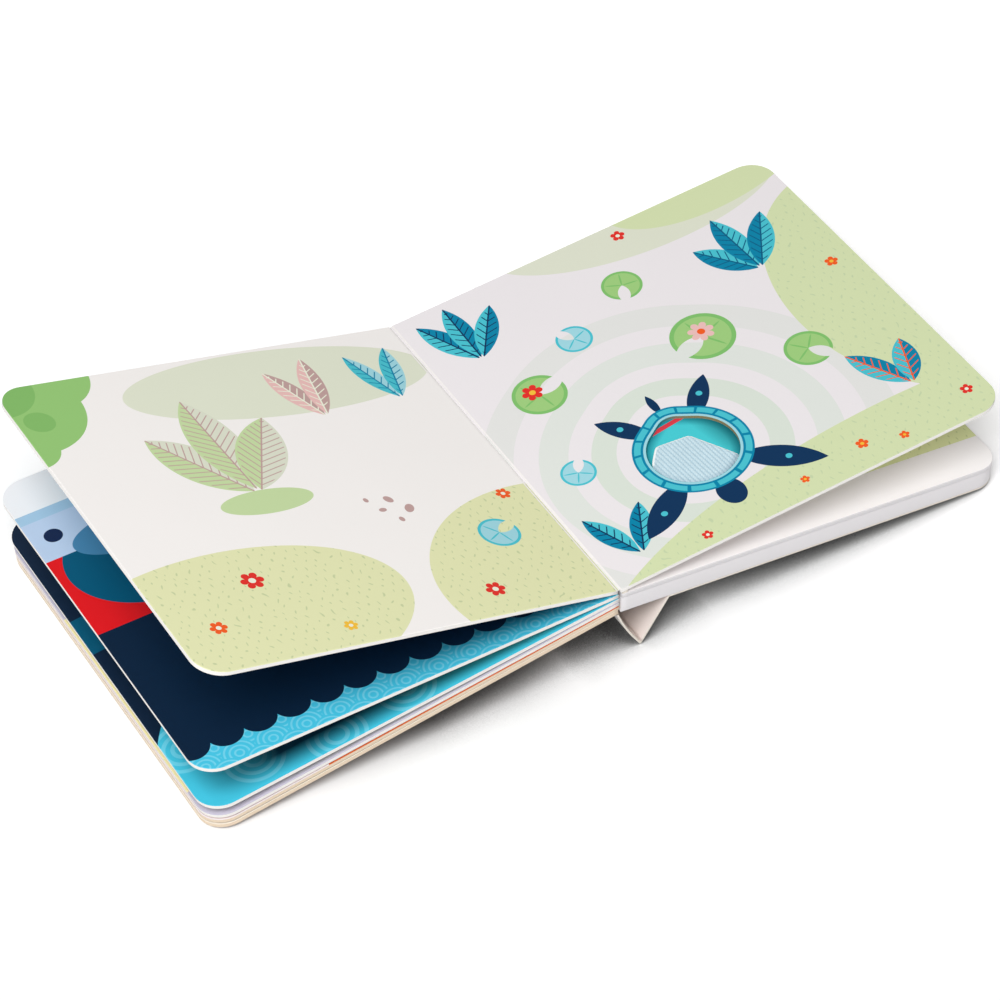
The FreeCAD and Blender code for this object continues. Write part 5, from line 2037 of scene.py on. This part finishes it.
@dataclass(frozen=True)
class Studio:
    """The camera, the pale floor, the soft lamp and the room's light.

    The camera's place is in degrees and millimetres, and the rest is in metres and shares of
    full light.
    """
    azimuth: float = 27.5697
    elevation: float = 43.6251
    roll: float = -3.5107
    distance: float = 1794.0327
    lens: float = 145.054
    target: tuple = (3.6669, 9.9762, 0.0)
    room: float = 0.38
    share: float = 0.68
    lamp: tuple = (-1.05, -1.1, 2.25)
    lamp_size: float = 1.8
    floor_half: float = 3.0
    floor_drop: float = 0.0003
    floor_tone: float = 0.975
    floor_glow: float = 1.16
    # The painted contact shadow on the floor: how far it looks for cover, and how dark it gets.
    contact_reach: float = 0.03
    contact_dark: float = 0.9

    def place_camera(self) -> None:
        """Stand the camera off the target along its azimuth and elevation, then roll it."""
        az, el, roll = map(math.radians, (self.azimuth, self.elevation, self.roll))
        forward = Vector((math.cos(el) * math.sin(az), math.cos(el) * math.cos(az),
                          -math.sin(el)))
        level = Vector((math.cos(az), -math.sin(az), 0))
        upright = level.cross(forward)
        right = level * math.cos(roll) + upright * math.sin(roll)
        up = upright * math.cos(roll) - level * math.sin(roll)
        data = bpy.data.cameras.new("camera")
        data.lens, data.sensor_width, data.clip_end = self.lens, 36.0, 20.0
        camera = bpy.data.objects.new("camera", data)
        turned = Matrix((right, up, -forward)).transposed().to_4x4()
        spot = (Vector(self.target) - forward * self.distance) * MM
        camera.matrix_world = Matrix.Translation(spot) @ turned
        bpy.context.scene.collection.objects.link(camera)
        bpy.context.scene.camera = camera

    def contact(self, g: Graph, along: Wire) -> Wire:
        """How much of the floor's paint and glow is kept beside the book, from 0 to 1: a painted
        contact shadow.

        The shade deepens where little of the sky is open, more so near the spine, and it fades
        out towards the book's two ends.

        Args:
            g: The floor's nodes.
            along: The place along x in metres.

        Returns:
            The share of the paint and glow that is kept.
        """
        open_sky = g.node("AmbientOcclusion", {"samples": 8}, {"Distance": self.contact_reach},
                          "AO")
        spine = g.math("MULTIPLY_ADD", abs(along + 0.03), -16.0, 1.3, clamp=True)
        deep = g.math("MULTIPLY_ADD", open_sky, -2.6, spine * 0.3 + 1.74, clamp=True)
        ends = g.math("MINIMUM", g.math("MULTIPLY_ADD", along, 16.0, 2.4, clamp=True),
                      g.math("MULTIPLY_ADD", along, -3.4, 1.35, clamp=True))
        return 1 - deep * ends * self.contact_dark

    def lack(self, g: Graph, spot: Wire) -> Wire:
        """What the room and the lamp leave short of white on the open floor.

        Args:
            g: The floor's nodes.
            spot: The place in metres.

        Returns:
            The share of white that is missing.
        """
        x, y, high = self.lamp
        away = g.vector("DISTANCE", spot, (x, y, 0), number=True)
        fall = g.math("POWER", g.math("MULTIPLY_ADD", away * away, 1 / high ** 2, 1.0), -2.0)
        start = (1 + (x * x + y * y) / high ** 2) ** 2 * self.share
        return g.math("MULTIPLY_ADD", fall, -self.floor_tone * start,
                      self.floor_glow - self.floor_tone * self.room, clamp=True)

    def make_floor(self) -> None:
        """A wide level floor: paint that takes shadow and a painted contact shadow beside the
        book, and a glow that makes up the white.
        """
        span = np.linspace(-self.floor_half, self.floor_half, 9)
        x, y = np.meshgrid(span, span, indexing="ij")
        place = np.stack([x, y, np.full_like(x, -self.floor_drop)], -1).reshape(-1, 3)
        start = (np.arange(8)[:, None] * 9 + np.arange(8)).reshape(-1)
        mesh = bpy.data.meshes.new("floor")
        mesh.from_pydata(place.tolist(), [], np.stack(
            [start, start + 9, start + 10, start + 1], 1).tolist())
        g = Paint("floor_paint", Roughness=0.9, Specular_IOR_Level=0.0, Emission_Strength=1.0)
        spot = g.spot(1.0)
        shade = self.contact(g, g.parts(spot)[0])
        paint = g.mix(shade, BLACK, ink(252, 252, 252))
        glow = g.mix(g.both(g.both(g.seen(), shade), self.lack(g, spot)), BLACK, WHITE)
        g.feed(Base_Color=g.tint(paint, g.noise(spot, 400.0, 2.0), 0.004), Emission_Color=glow)
        mesh.materials.append(g.material)
        floor = bpy.data.objects.new("floor", mesh)
        bpy.context.scene.collection.objects.link(floor)

    def light_room(self) -> None:
        """Even light from all round, white where it is seen directly or in a reflection."""
        world = bpy.data.worlds.new("room")
        bpy.context.scene.world = world
        g = Graph(world)
        even, bright = (g.node("Background", None, {0: WHITE, 1: power})
                        for power in (self.room, 1.0))
        blend = g.node("MixShader", None, {0: g.seen(), 1: even, 2: bright})
        output = g.tree.nodes.new("ShaderNodeOutputWorld")
        g.tree.links.new(blend.socket, output.inputs[0])

    def hang_lamp(self) -> None:
        """One wide lamp, high and in front to the left, turned to the origin.

        A level surface at the book gets its power times its height over pi squared times its
        distance cubed, as a share of full light.
        """
        far = math.dist(self.lamp, (0, 0, 0))
        data = bpy.data.lights.new("top_lamp", "AREA")
        data.shape, data.size = "DISK", self.lamp_size
        data.energy = self.share * math.pi ** 2 * far ** 3 / self.lamp[2]
        lamp = bpy.data.objects.new("top_lamp", data)
        lamp.location = self.lamp
        lamp.rotation_euler = Vector(self.lamp).to_track_quat("Z", "Y").to_euler()
        bpy.context.scene.collection.objects.link(lamp)

    def build(self) -> None:
        """Set the whole studio up."""
        self.place_camera()
        self.make_floor()
        self.light_room()
        self.hang_lamp()
        bpy.context.scene.view_settings.view_transform = "Standard"


# ---------------------------------------------------------------- main

def main() -> None:
    """Build the studio, then the book from the left half to the sound block."""
    logging.basicConfig(level=logging.INFO, format="%(name)s %(message)s")
    Studio().build()
    library = Library()
    for part in (LeftHalf(library), TouchLeaf(library), CoverCard(library),
                 SoundBlock(library)):
        for piece in part.build():
            LOG.info("%s made by %s", piece.name, type(part).__name__)


if __name__ == "__main__":
    main()
